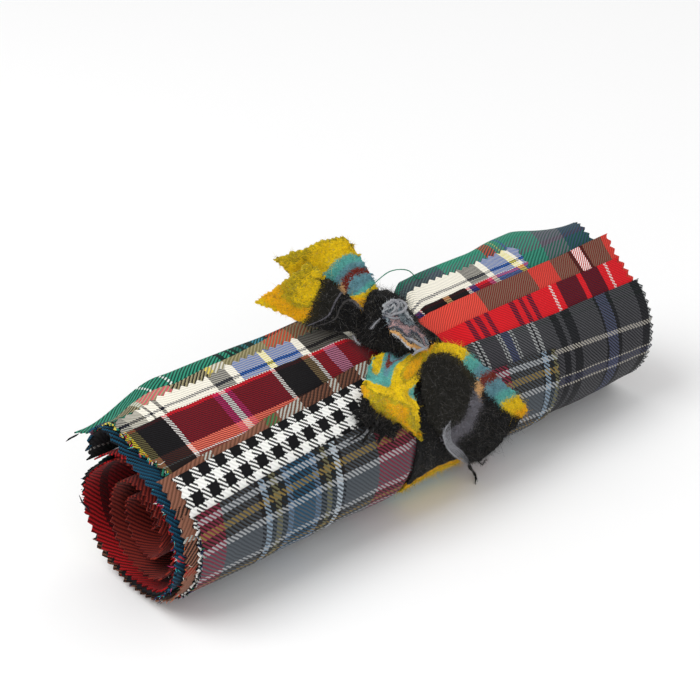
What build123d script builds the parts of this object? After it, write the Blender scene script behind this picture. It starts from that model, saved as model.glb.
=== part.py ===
"""Roll of tartan cloth samples, tied round the middle with a strip of brushed wool.

Millimetres. +X runs along the roll, -Y is its front, +Z is up.
The samples are wound together into one loose spiral. Each is a thin closed
shell that follows the winding, one layer inside the other, and the strip that
ties them is a band with a knot and two free tails.
"""
from math import cos, exp, pi, radians, sin
import os

from build123d import *

os.makedirs("parts", exist_ok=True)

# ---------------------------------------------------------------- dimensions
CLOTH = 0.70          # thickness of one sample
PITCH = 0.90          # winding pitch from one layer to the next
R_FRONT = 41.0        # outside radius of the roll at its front
LEAN = 3.0            # radius lost per turn of the winding
STEP = 7.5            # angle between section points
SPLIT = 52.5          # angle where the free ends spring off the roll
TIE_X0, TIE_X1 = -14.0, 30.0       # the tie's band
PRESS_X0, PRESS_X1 = -17.0, 33.0   # stretch that the tie holds down
BAND = 1.25           # thickness of the tie's band
CLEAR = 0.15          # tie to samples
ZC = 39.60            # height of the winding centre
REST_Y0, REST_Y1 = -20.0, 10.0     # flat that the roll rests on, under the tie
XO, YO = 0.5, 2.3    # shift that puts the box centre on the origin

# direction of the free ends past SPLIT, as (length, climb in degrees):
# where they stand off the roll, and where the tie presses them down
FREE = [(6.5, 37.0), (6.5, 36.5), (6.5, 36.0), (6.5, 35.5), (6.5, 34.5), (6.5, 33.0),
        (6.0, 22.0), (6.0, 4.0), (6.0, -16.0)]
PRESSED = [(6.5, 37.0), (6.5, 36.0), (6.5, 33.0), (6.5, 28.0), (6.5, 20.0), (6.5, 8.0),
           (6.0, -6.0), (6.0, -22.0), (6.0, -38.0)]


def bell(a, centre, width):
    return exp(-((a - centre) / width) ** 2)


def ease(t):
    t = min(max(t, 0.0), 1.0)
    return t * t * (3 - 2 * t)


def swell(a):
    """Room that the back gives up where the outer samples have ended."""
    return 3.6 * ease((-112 - a) / 60) - 4.4 * ease((-182 - a) / 46)


def radius(a, depth):
    """Outside radius of the layer at this depth; a is the unrolled angle in degrees,
    0 at the front, 90 on top, falling as the winding goes inwards."""
    r = R_FRONT + LEAN * (a + 10) / 360 + swell(a) - depth * PITCH
    settle = 1 - 0.040 * bell(a, -90, 30) + 0.010 * cos(radians(2 * (a - 35)))
    return r * settle


CORE = [(110, 0.0), (-8, 0.0), (-30, -2.2), (-60, -5.6), (-90, -7.4), (-120, -8.4),
        (-160, -9.0), (-205, -9.6), (-250, -9.2), (-300, -8.6), (-340, -8.8),
        (-375, -10.8), (-410, -13.6), (-450, -15.2), (-500, -16.0), (-560, -16.8),
        (-610, -17.8), (-660, -20.0), (-700, -22.4), (-740, -24.6)]


def core_point(a, inset):
    """Point of the loose inner coil, which leaves the stack at the front."""
    for (a0, d0), (a1, d1) in zip(CORE, CORE[1:]):
        if a <= a0 and a >= a1:
            drop = d0 + (d1 - d0) * (a0 - a) / (a0 - a1)
    base = radius(max(a, -110), 10) if a > -110 else radius(-110, 10)
    c = ease((-8 - a) / 100)
    r = base + drop - inset
    return (-r * cos(radians(a)) - 5.0 * c, r * sin(radians(a)) + 3.0 * c)


def ring_point(a, depth, inset=0.0):
    r = radius(a, depth) - inset
    return (-r * cos(radians(a)), r * sin(radians(a)))


def angles(start, end):
    n = int(round((start - end) / STEP))
    return [start - k * STEP for k in range(n + 1)]


def flare_points(depth, count, inset, path):
    """Free end of a layer past SPLIT, first point next to the roll."""
    y, z = ring_point(SPLIT, 0)
    pts, climb = [], [c for _, c in path]
    for k in range(count):
        run, up = path[k]
        y, z = y + run * cos(radians(up)), z + run * sin(radians(up))
        nxt = climb[min(k + 1, len(climb) - 1)] if k + 1 < count else up
        n = radians((up + nxt) / 2 + 90)
        d = depth * PITCH + inset
        pts.append((y - d * cos(n), z - d * sin(n)))
    return pts


def section(depth, start, end, flare=0, path=FREE):
    """Closed outline of one sample across the roll, as (y, z) points."""
    if flare:
        outer = flare_points(depth, flare, 0, path)[::-1]
        inner = flare_points(depth, flare, CLOTH, path)[::-1]
        start = SPLIT
    else:
        outer, inner = [], []
    outer = outer + [ring_point(a, depth) for a in angles(start, end)]
    inner = inner + [ring_point(a, depth, CLOTH) for a in angles(start, end)]
    return outer + inner[::-1]


def core_section(start, end, outset=0.0):
    outer = [core_point(a, -outset) for a in angles(start, end)]
    inner = [core_point(a, CLOTH - outset) for a in angles(start, end)]
    return outer + inner[::-1]


def placed(points):
    return [(y + YO, z + ZC) for y, z in points]


# ------------------------------------------------------- samples of the front
with BuildPart() as muted_tartan:                      # outermost, across the tie
    with BuildSketch(Plane.YZ.offset(-149 + XO)):
        with BuildLine():
            Polyline(*placed(section(0, 30, -120)), close=True)
        make_face()
    extrude(amount=236)

with BuildPart() as charcoal_tartan:                   # far end, under the muted one
    with BuildSketch(Plane.YZ.offset(8 + XO)):
        with BuildLine():
            Polyline(*placed(section(1, 45, -127.5)), close=True)
        make_face()
    extrude(amount=150)

with BuildPart() as houndstooth:                       # near end, under the muted one
    with BuildSketch(Plane.YZ.offset(-148 + XO)):
        with BuildLine():
            Polyline(*placed(section(1, SPLIT, -135, flare=1, path=PRESSED)), close=True)
        make_face()
    extrude(amount=153)

with BuildPart() as brown_tartan:                      # near end, its edge shows
    with BuildSketch(Plane.YZ.offset(-151 + XO)):
        with BuildLine():
            Polyline(*placed(section(2, SPLIT, -142.5, flare=2, path=PRESSED)), close=True)
        make_face()
    extrude(amount=155)

with BuildPart() as bright_red_tartan:                 # far end
    with BuildSketch(Plane.YZ.offset(9 + XO)):
        with BuildLine():
            Polyline(*placed(section(2, SPLIT, -142.5, flare=2, path=PRESSED)), close=True)
        make_face()
    extrude(amount=145)

with BuildPart() as salmon_tartan:                     # far end, springs off the roll
    with BuildSketch(Plane.YZ.offset(PRESS_X1 + XO)):
        with BuildLine():
            Polyline(*placed(section(3, SPLIT, -150, flare=4)), close=True)
        make_face()
    extrude(amount=157 - PRESS_X1)
    with BuildSketch(Plane.YZ.offset(9 + XO)):
        with BuildLine():
            Polyline(*placed(section(3, SPLIT, -150, flare=4, path=PRESSED)), close=True)
        make_face()
    extrude(amount=PRESS_X1 - 9)

with BuildPart() as dress_tartan:                      # across the tie, springs off both sides
    with BuildSketch(Plane.YZ.offset(-150 + XO)):
        with BuildLine():
            Polyline(*placed(section(4, SPLIT, -165, flare=6)), close=True)
        make_face()
    extrude(amount=PRESS_X0 + 150)
    with BuildSketch(Plane.YZ.offset(PRESS_X0 + XO)):
        with BuildLine():
            Polyline(*placed(section(4, SPLIT, -165, flare=6, path=PRESSED)), close=True)
        make_face()
    extrude(amount=PRESS_X1 - PRESS_X0)
    with BuildSketch(Plane.YZ.offset(PRESS_X1 + XO)):
        with BuildLine():
            Polyline(*placed(section(4, SPLIT, -165, flare=6)), close=True)
        make_face()
    extrude(amount=104 - PRESS_X1)

# -------------------------------------------------------- samples of the back
with BuildPart() as green_orange_tartan:               # near half, its free edge is the flap
    with BuildSketch(Plane.YZ.offset(-158 + XO)):
        with BuildLine():
            Polyline(*placed(section(5, SPLIT, -232.5, flare=9)), close=True)
        make_face()
    extrude(amount=PRESS_X0 + 158)
    with BuildSketch(Plane.YZ.offset(PRESS_X0 + XO)):
        with BuildLine():
            Polyline(*placed(section(5, SPLIT, -232.5, flare=9, path=PRESSED)), close=True)
        make_face()
    extrude(amount=4 - PRESS_X0)

with BuildPart() as green_navy_tartan:                 # far half, its free edge is the flap
    with BuildSketch(Plane.YZ.offset(8 + XO)):
        with BuildLine():
            Polyline(*placed(section(5, SPLIT, -232.5, flare=9, path=PRESSED)), close=True)
        make_face()
    extrude(amount=PRESS_X1 - 8)
    with BuildSketch(Plane.YZ.offset(PRESS_X1 + XO)):
        with BuildLine():
            Polyline(*placed(section(5, SPLIT, -232.5, flare=9)), close=True)
        make_face()
    extrude(amount=150 - PRESS_X1)

# ------------------------------------------------------- samples further inside
with BuildPart() as teal_tartan:
    with BuildSketch(Plane.YZ.offset(-156 + XO)):
        with BuildLine():
            Polyline(*placed(section(6, 135, -225)), close=True)
        make_face()
    extrude(amount=300)

with BuildPart() as black_tartan:
    with BuildSketch(Plane.YZ.offset(-154 + XO)):
        with BuildLine():
            Polyline(*placed(section(7, 142.5, -232.5)), close=True)
        make_face()
    extrude(amount=305)

with BuildPart() as red_twill:
    with BuildSketch(Plane.YZ.offset(-157 + XO)):
        with BuildLine():
            Polyline(*placed(section(8, 135, -240)), close=True)
        make_face()
    extrude(amount=303)

with BuildPart() as black_white_check:                 # outside of the inner coil
    with BuildSketch(Plane.YZ.offset(-155 + XO)):
        with BuildLine():
            Polyline(*placed(core_section(22.5, -195, outset=PITCH)), close=True)
        make_face()
    extrude(amount=290)

with BuildPart() as maroon_core:                       # innermost, a loose coil
    with BuildSketch(Plane.YZ.offset(-159 + XO)):
        with BuildLine():
            Polyline(*placed(core_section(105, -735)), close=True)
        make_face()
    extrude(amount=306)


# ------------------------------------------------------------------- the tie
def hull(points):
    """Convex outline of a set of points, anticlockwise."""
    pts = sorted(set(points))
    out = []
    for run in (pts, pts[::-1]):
        side = []
        for p in run:
            while len(side) > 1 and ((side[-1][0] - side[-2][0]) * (p[1] - side[-2][1])
                                     - (side[-1][1] - side[-2][1]) * (p[0] - side[-2][0])) <= 0:
                side.pop()
            side.append(p)
        out += side[:-1]
    return out


def grown(points, by):
    """The outline moved outwards, each corner along its own bisector."""
    cy = sum(p[0] for p in points) / len(points)
    cz = sum(p[1] for p in points) / len(points)
    out = []
    for y, z in points:
        d = ((y - cy) ** 2 + (z - cz) ** 2) ** 0.5
        out.append((y + (y - cy) / d * by, z + (z - cz) / d * by))
    return out


def knot_outline(size):
    """Lean oval of the knot, as (y, z) points."""
    out = []
    for k in range(16):
        u, v = 14 * size * cos(2 * pi * k / 16), 10 * size * sin(2 * pi * k / 16)
        out.append((-10 + u * cos(radians(32)) - v * sin(radians(32)),
                    50 + u * sin(radians(32)) + v * cos(radians(32))))
    return out


held = []
for depth, start, end, free in ((0, 30, -120, 0), (1, SPLIT, -135, 1), (2, SPLIT, -142.5, 2),
                                (3, SPLIT, -150, 4), (4, SPLIT, -165, 6), (5, SPLIT, -232.5, 9),
                                (6, 135, -225, 0), (7, 142.5, -232.5, 0)):
    held += section(depth, start, end, flare=free, path=PRESSED)
inside = grown(hull(held), CLEAR)
# the band's underside is spread flat where the roll rests on it
outside = hull(grown(inside, BAND) + [(REST_Y0, -ZC), (REST_Y1, -ZC)])

with BuildPart() as tie_strip:
    # band
    with BuildSketch(Plane.YZ.offset(TIE_X0 + XO)):
        with BuildLine():
            Polyline(*placed(outside), close=True)
        make_face()
    extrude(amount=TIE_X1 - TIE_X0)
    # knot, a lump on top of the front
    for x0, x1, size in ((-13, 21, 0.80), (-9, 17, 1.0)):
        with BuildSketch(Plane.YZ.offset(x0 + XO)):
            with BuildLine():
                Polyline(*placed(knot_outline(size)), close=True)
            make_face()
        extrude(amount=x1 - x0)
    # tail that lies over the front, towards the far end
    with BuildSketch(Plane.YZ.offset(18 + XO)):
        with BuildLine():
            Polyline(*placed([ring_point(a, -3.9) for a in angles(52.5, -22.5)]
                             + [ring_point(a, -1.35) for a in angles(52.5, -22.5)][::-1]), close=True)
        make_face()
    extrude(amount=30)
    # tail that stands up and back, towards the near end
    tail_plane = Plane(origin=(2 + XO, -6 + YO, 52 + ZC), x_dir=(-0.772, 0.456, 0.441), z_dir=(-0.355, -0.887, 0.296))
    with BuildSketch(tail_plane):
        with BuildLine():
            Polyline((-4, -8), (6, -17), (37, -31), (66, -12), (60, -2), (70, 12), (46, 6), (20, 8), (-4, 9), close=True)
        make_face()
    extrude(amount=2.1, both=True)
    # room for the roll inside the band, and the flat that it rests on
    with BuildSketch(Plane.YZ.offset(-70 + XO)):
        with BuildLine():
            Polyline(*placed(inside), close=True)
        make_face()
    extrude(amount=140, mode=Mode.SUBTRACT)
    with BuildSketch(Plane.XY):
        Rectangle(400, 400)
    extrude(amount=-20, mode=Mode.SUBTRACT)

muted_tartan.part.label = "muted_tartan_cloth"
charcoal_tartan.part.label = "charcoal_tartan_cloth"
houndstooth.part.label = "houndstooth_cloth"
brown_tartan.part.label = "brown_tartan_cloth"
bright_red_tartan.part.label = "bright_red_tartan_cloth"
salmon_tartan.part.label = "salmon_tartan_cloth"
dress_tartan.part.label = "dress_tartan_cloth"
green_orange_tartan.part.label = "green_orange_tartan_cloth"
green_navy_tartan.part.label = "green_navy_tartan_cloth"
teal_tartan.part.label = "teal_tartan_cloth"
black_tartan.part.label = "black_tartan_cloth"
red_twill.part.label = "red_twill_cloth"
black_white_check.part.label = "black_white_cloth"
maroon_core.part.label = "maroon_core_cloth"
tie_strip.part.label = "tie_strip"

export_step(muted_tartan.part, "parts/muted_tartan_cloth.step")
export_step(charcoal_tartan.part, "parts/charcoal_tartan_cloth.step")
export_step(houndstooth.part, "parts/houndstooth_cloth.step")
export_step(brown_tartan.part, "parts/brown_tartan_cloth.step")
export_step(bright_red_tartan.part, "parts/bright_red_tartan_cloth.step")
export_step(salmon_tartan.part, "parts/salmon_tartan_cloth.step")
export_step(dress_tartan.part, "parts/dress_tartan_cloth.step")
export_step(green_orange_tartan.part, "parts/green_orange_tartan_cloth.step")
export_step(green_navy_tartan.part, "parts/green_navy_tartan_cloth.step")
export_step(teal_tartan.part, "parts/teal_tartan_cloth.step")
export_step(black_tartan.part, "parts/black_tartan_cloth.step")
export_step(red_twill.part, "parts/red_twill_cloth.step")
export_step(black_white_check.part, "parts/black_white_cloth.step")
export_step(maroon_core.part, "parts/maroon_core_cloth.step")
export_step(tie_strip.part, "parts/tie_strip.step")

for piece in (muted_tartan, charcoal_tartan, houndstooth, brown_tartan, bright_red_tartan,
              salmon_tartan, dress_tartan, green_orange_tartan, green_navy_tartan, teal_tartan,
              black_tartan, red_twill, black_white_check, maroon_core, tie_strip):
    box = piece.part.bounding_box()
    print(f"{piece.part.label:28s} solids {len(piece.part.solids())} volume {piece.part.volume:9.0f} "
          f"x {box.min.X:7.2f} {box.max.X:7.2f}  y {box.min.Y:7.2f} {box.max.Y:7.2f}  z {box.min.Z:7.2f} {box.max.Z:7.2f}")
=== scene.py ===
"""Tied roll of tartan cloth samples: the looks. Every length in the helpers is in millimetres of the
winding's own axes (x along the roll, y back, z up from the winding's centre) and becomes metres in place()."""
import bpy
import bmesh
import math
import numpy as np
from mathutils import Matrix, Vector


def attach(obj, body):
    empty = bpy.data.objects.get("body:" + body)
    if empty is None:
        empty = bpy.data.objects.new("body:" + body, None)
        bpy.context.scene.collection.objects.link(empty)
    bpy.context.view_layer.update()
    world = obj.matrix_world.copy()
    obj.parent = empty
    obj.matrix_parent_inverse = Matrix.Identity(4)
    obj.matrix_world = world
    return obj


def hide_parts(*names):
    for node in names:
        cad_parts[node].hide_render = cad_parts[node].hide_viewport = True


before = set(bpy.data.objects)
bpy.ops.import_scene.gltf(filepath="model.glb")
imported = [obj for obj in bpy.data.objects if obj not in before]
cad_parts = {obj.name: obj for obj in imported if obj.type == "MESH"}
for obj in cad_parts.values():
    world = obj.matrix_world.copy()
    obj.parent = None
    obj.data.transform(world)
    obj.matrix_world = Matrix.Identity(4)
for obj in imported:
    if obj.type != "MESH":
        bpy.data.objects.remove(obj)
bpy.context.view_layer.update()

MM = 0.001
XO, YO, ZC = 0.5, 2.3, 39.6        # millimetres: shift to the row frame, height of the winding centre
CLOTH, PITCH = 0.70, 0.90
R_FRONT, LEAN, SPLIT = 41.0, 3.0, 52.5



def ease(t):
    t = np.clip(t, 0.0, 1.0)
    return t * t * (3 - 2 * t)


def bell(a, c, w):
    return np.exp(-((a - c) / w) ** 2)


def swell(a):
    return 3.6 * ease((-112 - a) / 60) - 4.4 * ease((-182 - a) / 46)


def radius(a, depth):
    r = R_FRONT + LEAN * (a + 10) / 360 + swell(a) - depth * PITCH
    return r * (1 - 0.040 * bell(a, -90, 30) + 0.010 * np.cos(np.radians(2 * (a - 35))))


CORE = np.array([(110, 0.0), (-8, 0.0), (-30, -2.2), (-60, -5.6), (-90, -7.4), (-120, -8.4),
                 (-160, -9.0), (-205, -9.6), (-250, -9.2), (-300, -8.6), (-340, -8.8),
                 (-375, -10.8), (-410, -13.6), (-450, -15.2), (-500, -16.0), (-560, -16.8),
                 (-610, -17.8), (-660, -20.0), (-700, -22.4), (-740, -24.6)])


def core_point(a, inset):
    drop = np.interp(-a, -CORE[:, 0], CORE[:, 1])
    base = radius(np.maximum(a, -110), 10)
    c = ease((-8 - a) / 100)
    r = base + drop - inset
    return -r * np.cos(np.radians(a)) - 5.0 * c, r * np.sin(np.radians(a)) + 3.0 * c


# climb of the free ends past SPLIT, as (distance, degrees)
FREE = np.array([(0, 37.3), (16, 36.8), (32, 34.5), (39, 29), (44, 22), (50, 6), (56, -12), (66, -30), (90, -40)])
PRESSED = np.array([(0, 37.3), (12, 36), (19, 32), (25, 26), (31, 16), (37, 4), (43, -10), (49, -24), (56, -38), (90, -70)])
SAG_NEAR = np.array([(0, 37.3), (16, 35), (30, 30), (37, 20), (42, 0), (47, -28), (53, -46), (60, -40), (68, -26), (90, -18)])
SAG_FAR = np.array([(0, 37.3), (16, 36.8), (30, 35), (38, 28), (43, 10), (48, -18), (54, -46), (66, -55), (90, -55)])


def climb(q, x):
    """Direction of the free ends in degrees, at distance q past SPLIT and place x along the roll."""
    w = np.clip(ease((x + 24) / 9) * ease((33 - x) / 8), 0, 1)
    n = ease((-118 - x) / 36)
    f = ease((x - 112) / 36)
    free = np.interp(q, FREE[:, 0], FREE[:, 1])
    press = np.interp(q, PRESSED[:, 0], PRESSED[:, 1])
    near = np.interp(q, SAG_NEAR[:, 0], SAG_NEAR[:, 1])
    far = np.interp(q, SAG_FAR[:, 0], SAG_FAR[:, 1])
    up = free + (near - free) * n + (far - free) * f
    return up * (1 - w) + press * w


def lumps(x, a):
    """Slow unevenness shared by all the layers, in millimetres."""
    r = np.radians(a)
    return (0.45 * np.sin(0.051 * x + 1.3) * np.sin(1.0 * r + 0.4)
            + 0.30 * np.sin(0.083 * x - 0.7 + 2.0 * r)
            + 0.22 * np.sin(0.131 * x + 2.1 - 3.0 * r)
            + 0.12 * np.sin(0.21 * x + 0.5 + 4.0 * r))


def cinch(x):
    """How far the tie draws the roll in."""
    return 2.0 * ease((x + 19) / 6) * ease((46 - x) / 12) - 0.5 * bell(x, -23, 7)


def place(x, y, z, inward_y=0.0, inward_z=0.0):
    """From the winding's own millimetres to the row frame's metres; the roll narrows a little to the far end."""
    k = 1 - 0.030 * x / 150
    base = -38.9
    y2 = y * k
    z2 = base + (z - base) * k
    return np.stack([(x + XO) * MM, (y2 + YO) * MM, np.maximum(z2 + ZC, 0.12) * MM], -1)


def wound(x, t, depth, lift=None):
    """Outer face of a layer. x along the roll and t along the winding, both in mm: t is 0 where the free
    end leaves the roll, negative on the free end and positive down the front."""
    x = np.asarray(x, float); t = np.asarray(t, float)
    a = SPLIT - np.maximum(t, 0) / (R_FRONT - depth * PITCH * 0.9) * 180 / np.pi
    r = radius(a, depth) + lumps(x, a) - cinch(x) * (1 - 0.35 * bell(a, -90, 40))
    ring_y, ring_z = -r * np.cos(np.radians(a)), r * np.sin(np.radians(a))
    # free end, integrated along its climb
    r0 = radius(np.array(SPLIT), 0) + lumps(x, np.full_like(x, SPLIT)) - cinch(x)
    y0, z0 = -r0 * np.cos(np.radians(SPLIT)), r0 * np.sin(np.radians(SPLIT))
    q = np.maximum(-t, 0)
    n = 60
    f = (np.arange(n) + 0.5) / n
    qq = q[..., None] * f
    up = climb(qq, x[..., None])
    if lift is not None:
        up = up + lift(qq, x[..., None])
    up = np.radians(up)
    fy = y0 + q * np.cos(up).mean(-1)
    fz = z0 + q * np.sin(up).mean(-1)
    e = climb(q, x)
    if lift is not None:
        e = e + lift(q, x)
    e = np.radians(e + 90)
    d = depth * PITCH
    fy, fz = fy - d * np.cos(e), fz - d * np.sin(e)
    free = t < 0
    y = np.where(free, fy, ring_y)
    z = np.where(free, fz, ring_z)
    return place(x, y, z)


# ------------------------------------------------------------------ mesh helpers
def make_object(name, verts, faces, uvs, mat, uv2=None):
    """verts (n,3) in metres, faces (m,4), uvs (n,2): one object with smooth faces and a thread map."""
    me = bpy.data.meshes.new(name)
    n, m = len(verts), len(faces)
    me.vertices.add(n)
    me.vertices.foreach_set("co", np.ascontiguousarray(verts, dtype=np.float32).ravel())
    me.loops.add(m * 4)
    me.loops.foreach_set("vertex_index", np.ascontiguousarray(faces, dtype=np.int32).ravel())
    me.polygons.add(m)
    me.polygons.foreach_set("loop_start", np.arange(0, m * 4, 4, dtype=np.int32))
    me.polygons.foreach_set("loop_total", np.full(m, 4, dtype=np.int32))
    me.update(calc_edges=True)
    me.validate()
    uv = me.uv_layers.new(name="thread")
    idx = np.zeros(len(me.loops), dtype=np.int32)
    me.loops.foreach_get("vertex_index", idx)
    uv.data.foreach_set("uv", np.ascontiguousarray(uvs[idx], dtype=np.float32).ravel())
    me.polygons.foreach_set("use_smooth", np.ones(len(me.polygons), dtype=bool))
    me.set_sharp_from_angle(angle=math.radians(55))
    me.materials.append(mat)
    ob = bpy.data.objects.new(name, me)
    bpy.context.scene.collection.objects.link(ob)
    return ob


def shell(name, P, UV, mat, thick=CLOTH, wrap=False, flip=False, spread=None):
    """Closed sheet of cloth from a grid P[j, i] of outer points: j along the winding, i along the roll."""
    nj, ni = P.shape[:2]
    if wrap:
        ej = np.roll(P, -1, 0) - np.roll(P, 1, 0)
    else:
        ej = np.gradient(P, axis=0)
    ei = np.gradient(P, axis=1)
    nrm = np.cross(ej, ei)
    nrm /= np.maximum(np.linalg.norm(nrm, axis=-1, keepdims=True), 1e-12)
    if flip:
        nrm = -nrm
    th = thick * MM if np.isscalar(thick) else thick[..., None] * MM
    Q = P - nrm * th
    V = np.concatenate([P.reshape(-1, 3), Q.reshape(-1, 3)])
    U = np.concatenate([UV.reshape(-1, 2), UV.reshape(-1, 2)])
    idx = np.arange(nj * ni).reshape(nj, ni)
    if wrap:
        idx = np.concatenate([idx, idx[:1]])
    a, b, c, d = idx[:-1, :-1], idx[1:, :-1], idx[1:, 1:], idx[:-1, 1:]
    outer = np.stack([a, b, c, d], -1).reshape(-1, 4)
    k = nj * ni
    inner = outer[:, ::-1] + k
    rims = []

    def rim(line, forward):
        p, q = line[:-1], line[1:]
        f = np.stack([p, p + k, q + k, q], -1)
        rims.append(f if forward else f[:, ::-1])
    if not wrap:
        rim(idx[0, :], False)
        rim(idx[-1, :], True)
    rim(idx[:, 0], True)
    rim(idx[:, -1], False)
    F = np.concatenate([outer, inner] + rims)
    if flip:
        F = F[:, ::-1]
    return make_object(name, V, F, U, mat)


def strands(name, roots, dirs, lengths, uvs, mat, width=0.10, curl=0.5, droop=0.25, seed=3, seg=4):
    """Loose fibres: thin tapered ribbons that curl away from their roots."""
    g = np.random.default_rng(seed)
    n = len(roots)
    d = dirs / np.maximum(np.linalg.norm(dirs, axis=1, keepdims=True), 1e-9)
    side = np.cross(d, g.normal(size=(n, 3)))
    side /= np.maximum(np.linalg.norm(side, axis=1, keepdims=True), 1e-9)
    bend = g.normal(size=(n, 3)) * curl
    bend[:, 2] -= droop
    pts = [roots]
    cur = d.copy()
    for s in range(seg):
        cur = cur + bend / seg + g.normal(size=(n, 3)) * 0.12
        cur /= np.linalg.norm(cur, axis=1, keepdims=True)
        pts.append(pts[-1] + cur * (lengths / seg)[:, None] * MM)
    V = []
    for s, p in enumerate(pts):
        w = width * MM * (1 - 0.85 * s / seg) / 2
        V += [p - side * w, p + side * w]
    V = np.stack(V, 1)                          # n, 2(seg+1), 3
    base = np.arange(n)[:, None] * (2 * (seg + 1))
    F = []
    for s in range(seg):
        F.append(np.stack([base[:, 0] + 2 * s, base[:, 0] + 2 * s + 1,
                           base[:, 0] + 2 * s + 3, base[:, 0] + 2 * s + 2], -1))
    F = np.concatenate(F)
    U = np.repeat(uvs[:, None, :], 2 * (seg + 1), 1).reshape(-1, 2)
    return make_object(name, V.reshape(-1, 3), F, U, mat)


# ------------------------------------------------------------------ cloth materials
def lin(c, k=1.0):
    out = []
    for v in c:
        v = v / 255.0
        out.append((v / 12.92 if v <= 0.04045 else ((v + 0.055) / 1.055) ** 2.4) * k)
    return (out[0], out[1], out[2], 1.0)


class Graph:
    """Small helper for wiring shader nodes."""

    def __init__(self, name):
        self.mat = bpy.data.materials.new(name)
        self.mat.use_nodes = True
        self.nt = self.mat.node_tree
        self.nt.nodes.clear()
        self.out = self.nt.nodes.new("ShaderNodeOutputMaterial")

    def link(self, a, b):
        self.nt.links.new(a, b)

    def put(self, sock, v):
        if isinstance(v, (int, float)):
            sock.default_value = v
        elif isinstance(v, tuple):
            sock.default_value = v
        else:
            self.link(v, sock)

    def math(self, op, a, b=0.0, c=0.0, clamp=False):
        n = self.nt.nodes.new("ShaderNodeMath")
        n.operation = op
        n.use_clamp = clamp
        self.put(n.inputs[0], a)
        self.put(n.inputs[1], b)
        self.put(n.inputs[2], c)
        return n.outputs[0]

    def mix(self, f, a, b, mode="MIX"):
        n = self.nt.nodes.new("ShaderNodeMix")
        n.data_type = "RGBA"
        n.blend_type = mode
        n.clamp_factor = True
        self.put(n.inputs[0], f)
        self.put(n.inputs[6], a)
        self.put(n.inputs[7], b)
        return n.outputs[2]

    def noise(self, vec, scale, detail=2.0, rough=0.5, w=None):
        n = self.nt.nodes.new("ShaderNodeTexNoise")
        n.inputs["Scale"].default_value = scale
        n.inputs["Detail"].default_value = detail
        n.inputs["Roughness"].default_value = rough
        self.link(vec, n.inputs["Vector"])
        return n.outputs["Fac"]

    def stripes(self, value, lo, hi, stops, k=1.0):
        """Hard-edged colours along one direction; stops are (start in mm, sRGB)."""
        n = self.nt.nodes.new("ShaderNodeValToRGB")
        r = n.color_ramp
        r.interpolation = "CONSTANT"
        stops = [s for s in stops if s[0] < hi]
        while len(r.elements) > 1:
            r.elements.remove(r.elements[-1])
        first = True
        for stop in stops:
            s, c = stop[0], stop[1]
            p = min(max((s - lo) / (hi - lo), 0.0), 1.0)
            if first:
                e = r.elements[0]
                e.position = 0.0
                first = False
            else:
                e = r.elements.new(p)
            e.color = lin(c, k)[:3] + ((stop[2] if len(stop) > 2 else 1.0),)
        self.link(self.math("DIVIDE", self.math("SUBTRACT", value, lo), hi - lo), n.inputs[0])
        return n.outputs[0], n.outputs[1]


THREAD = 0.64


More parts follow.
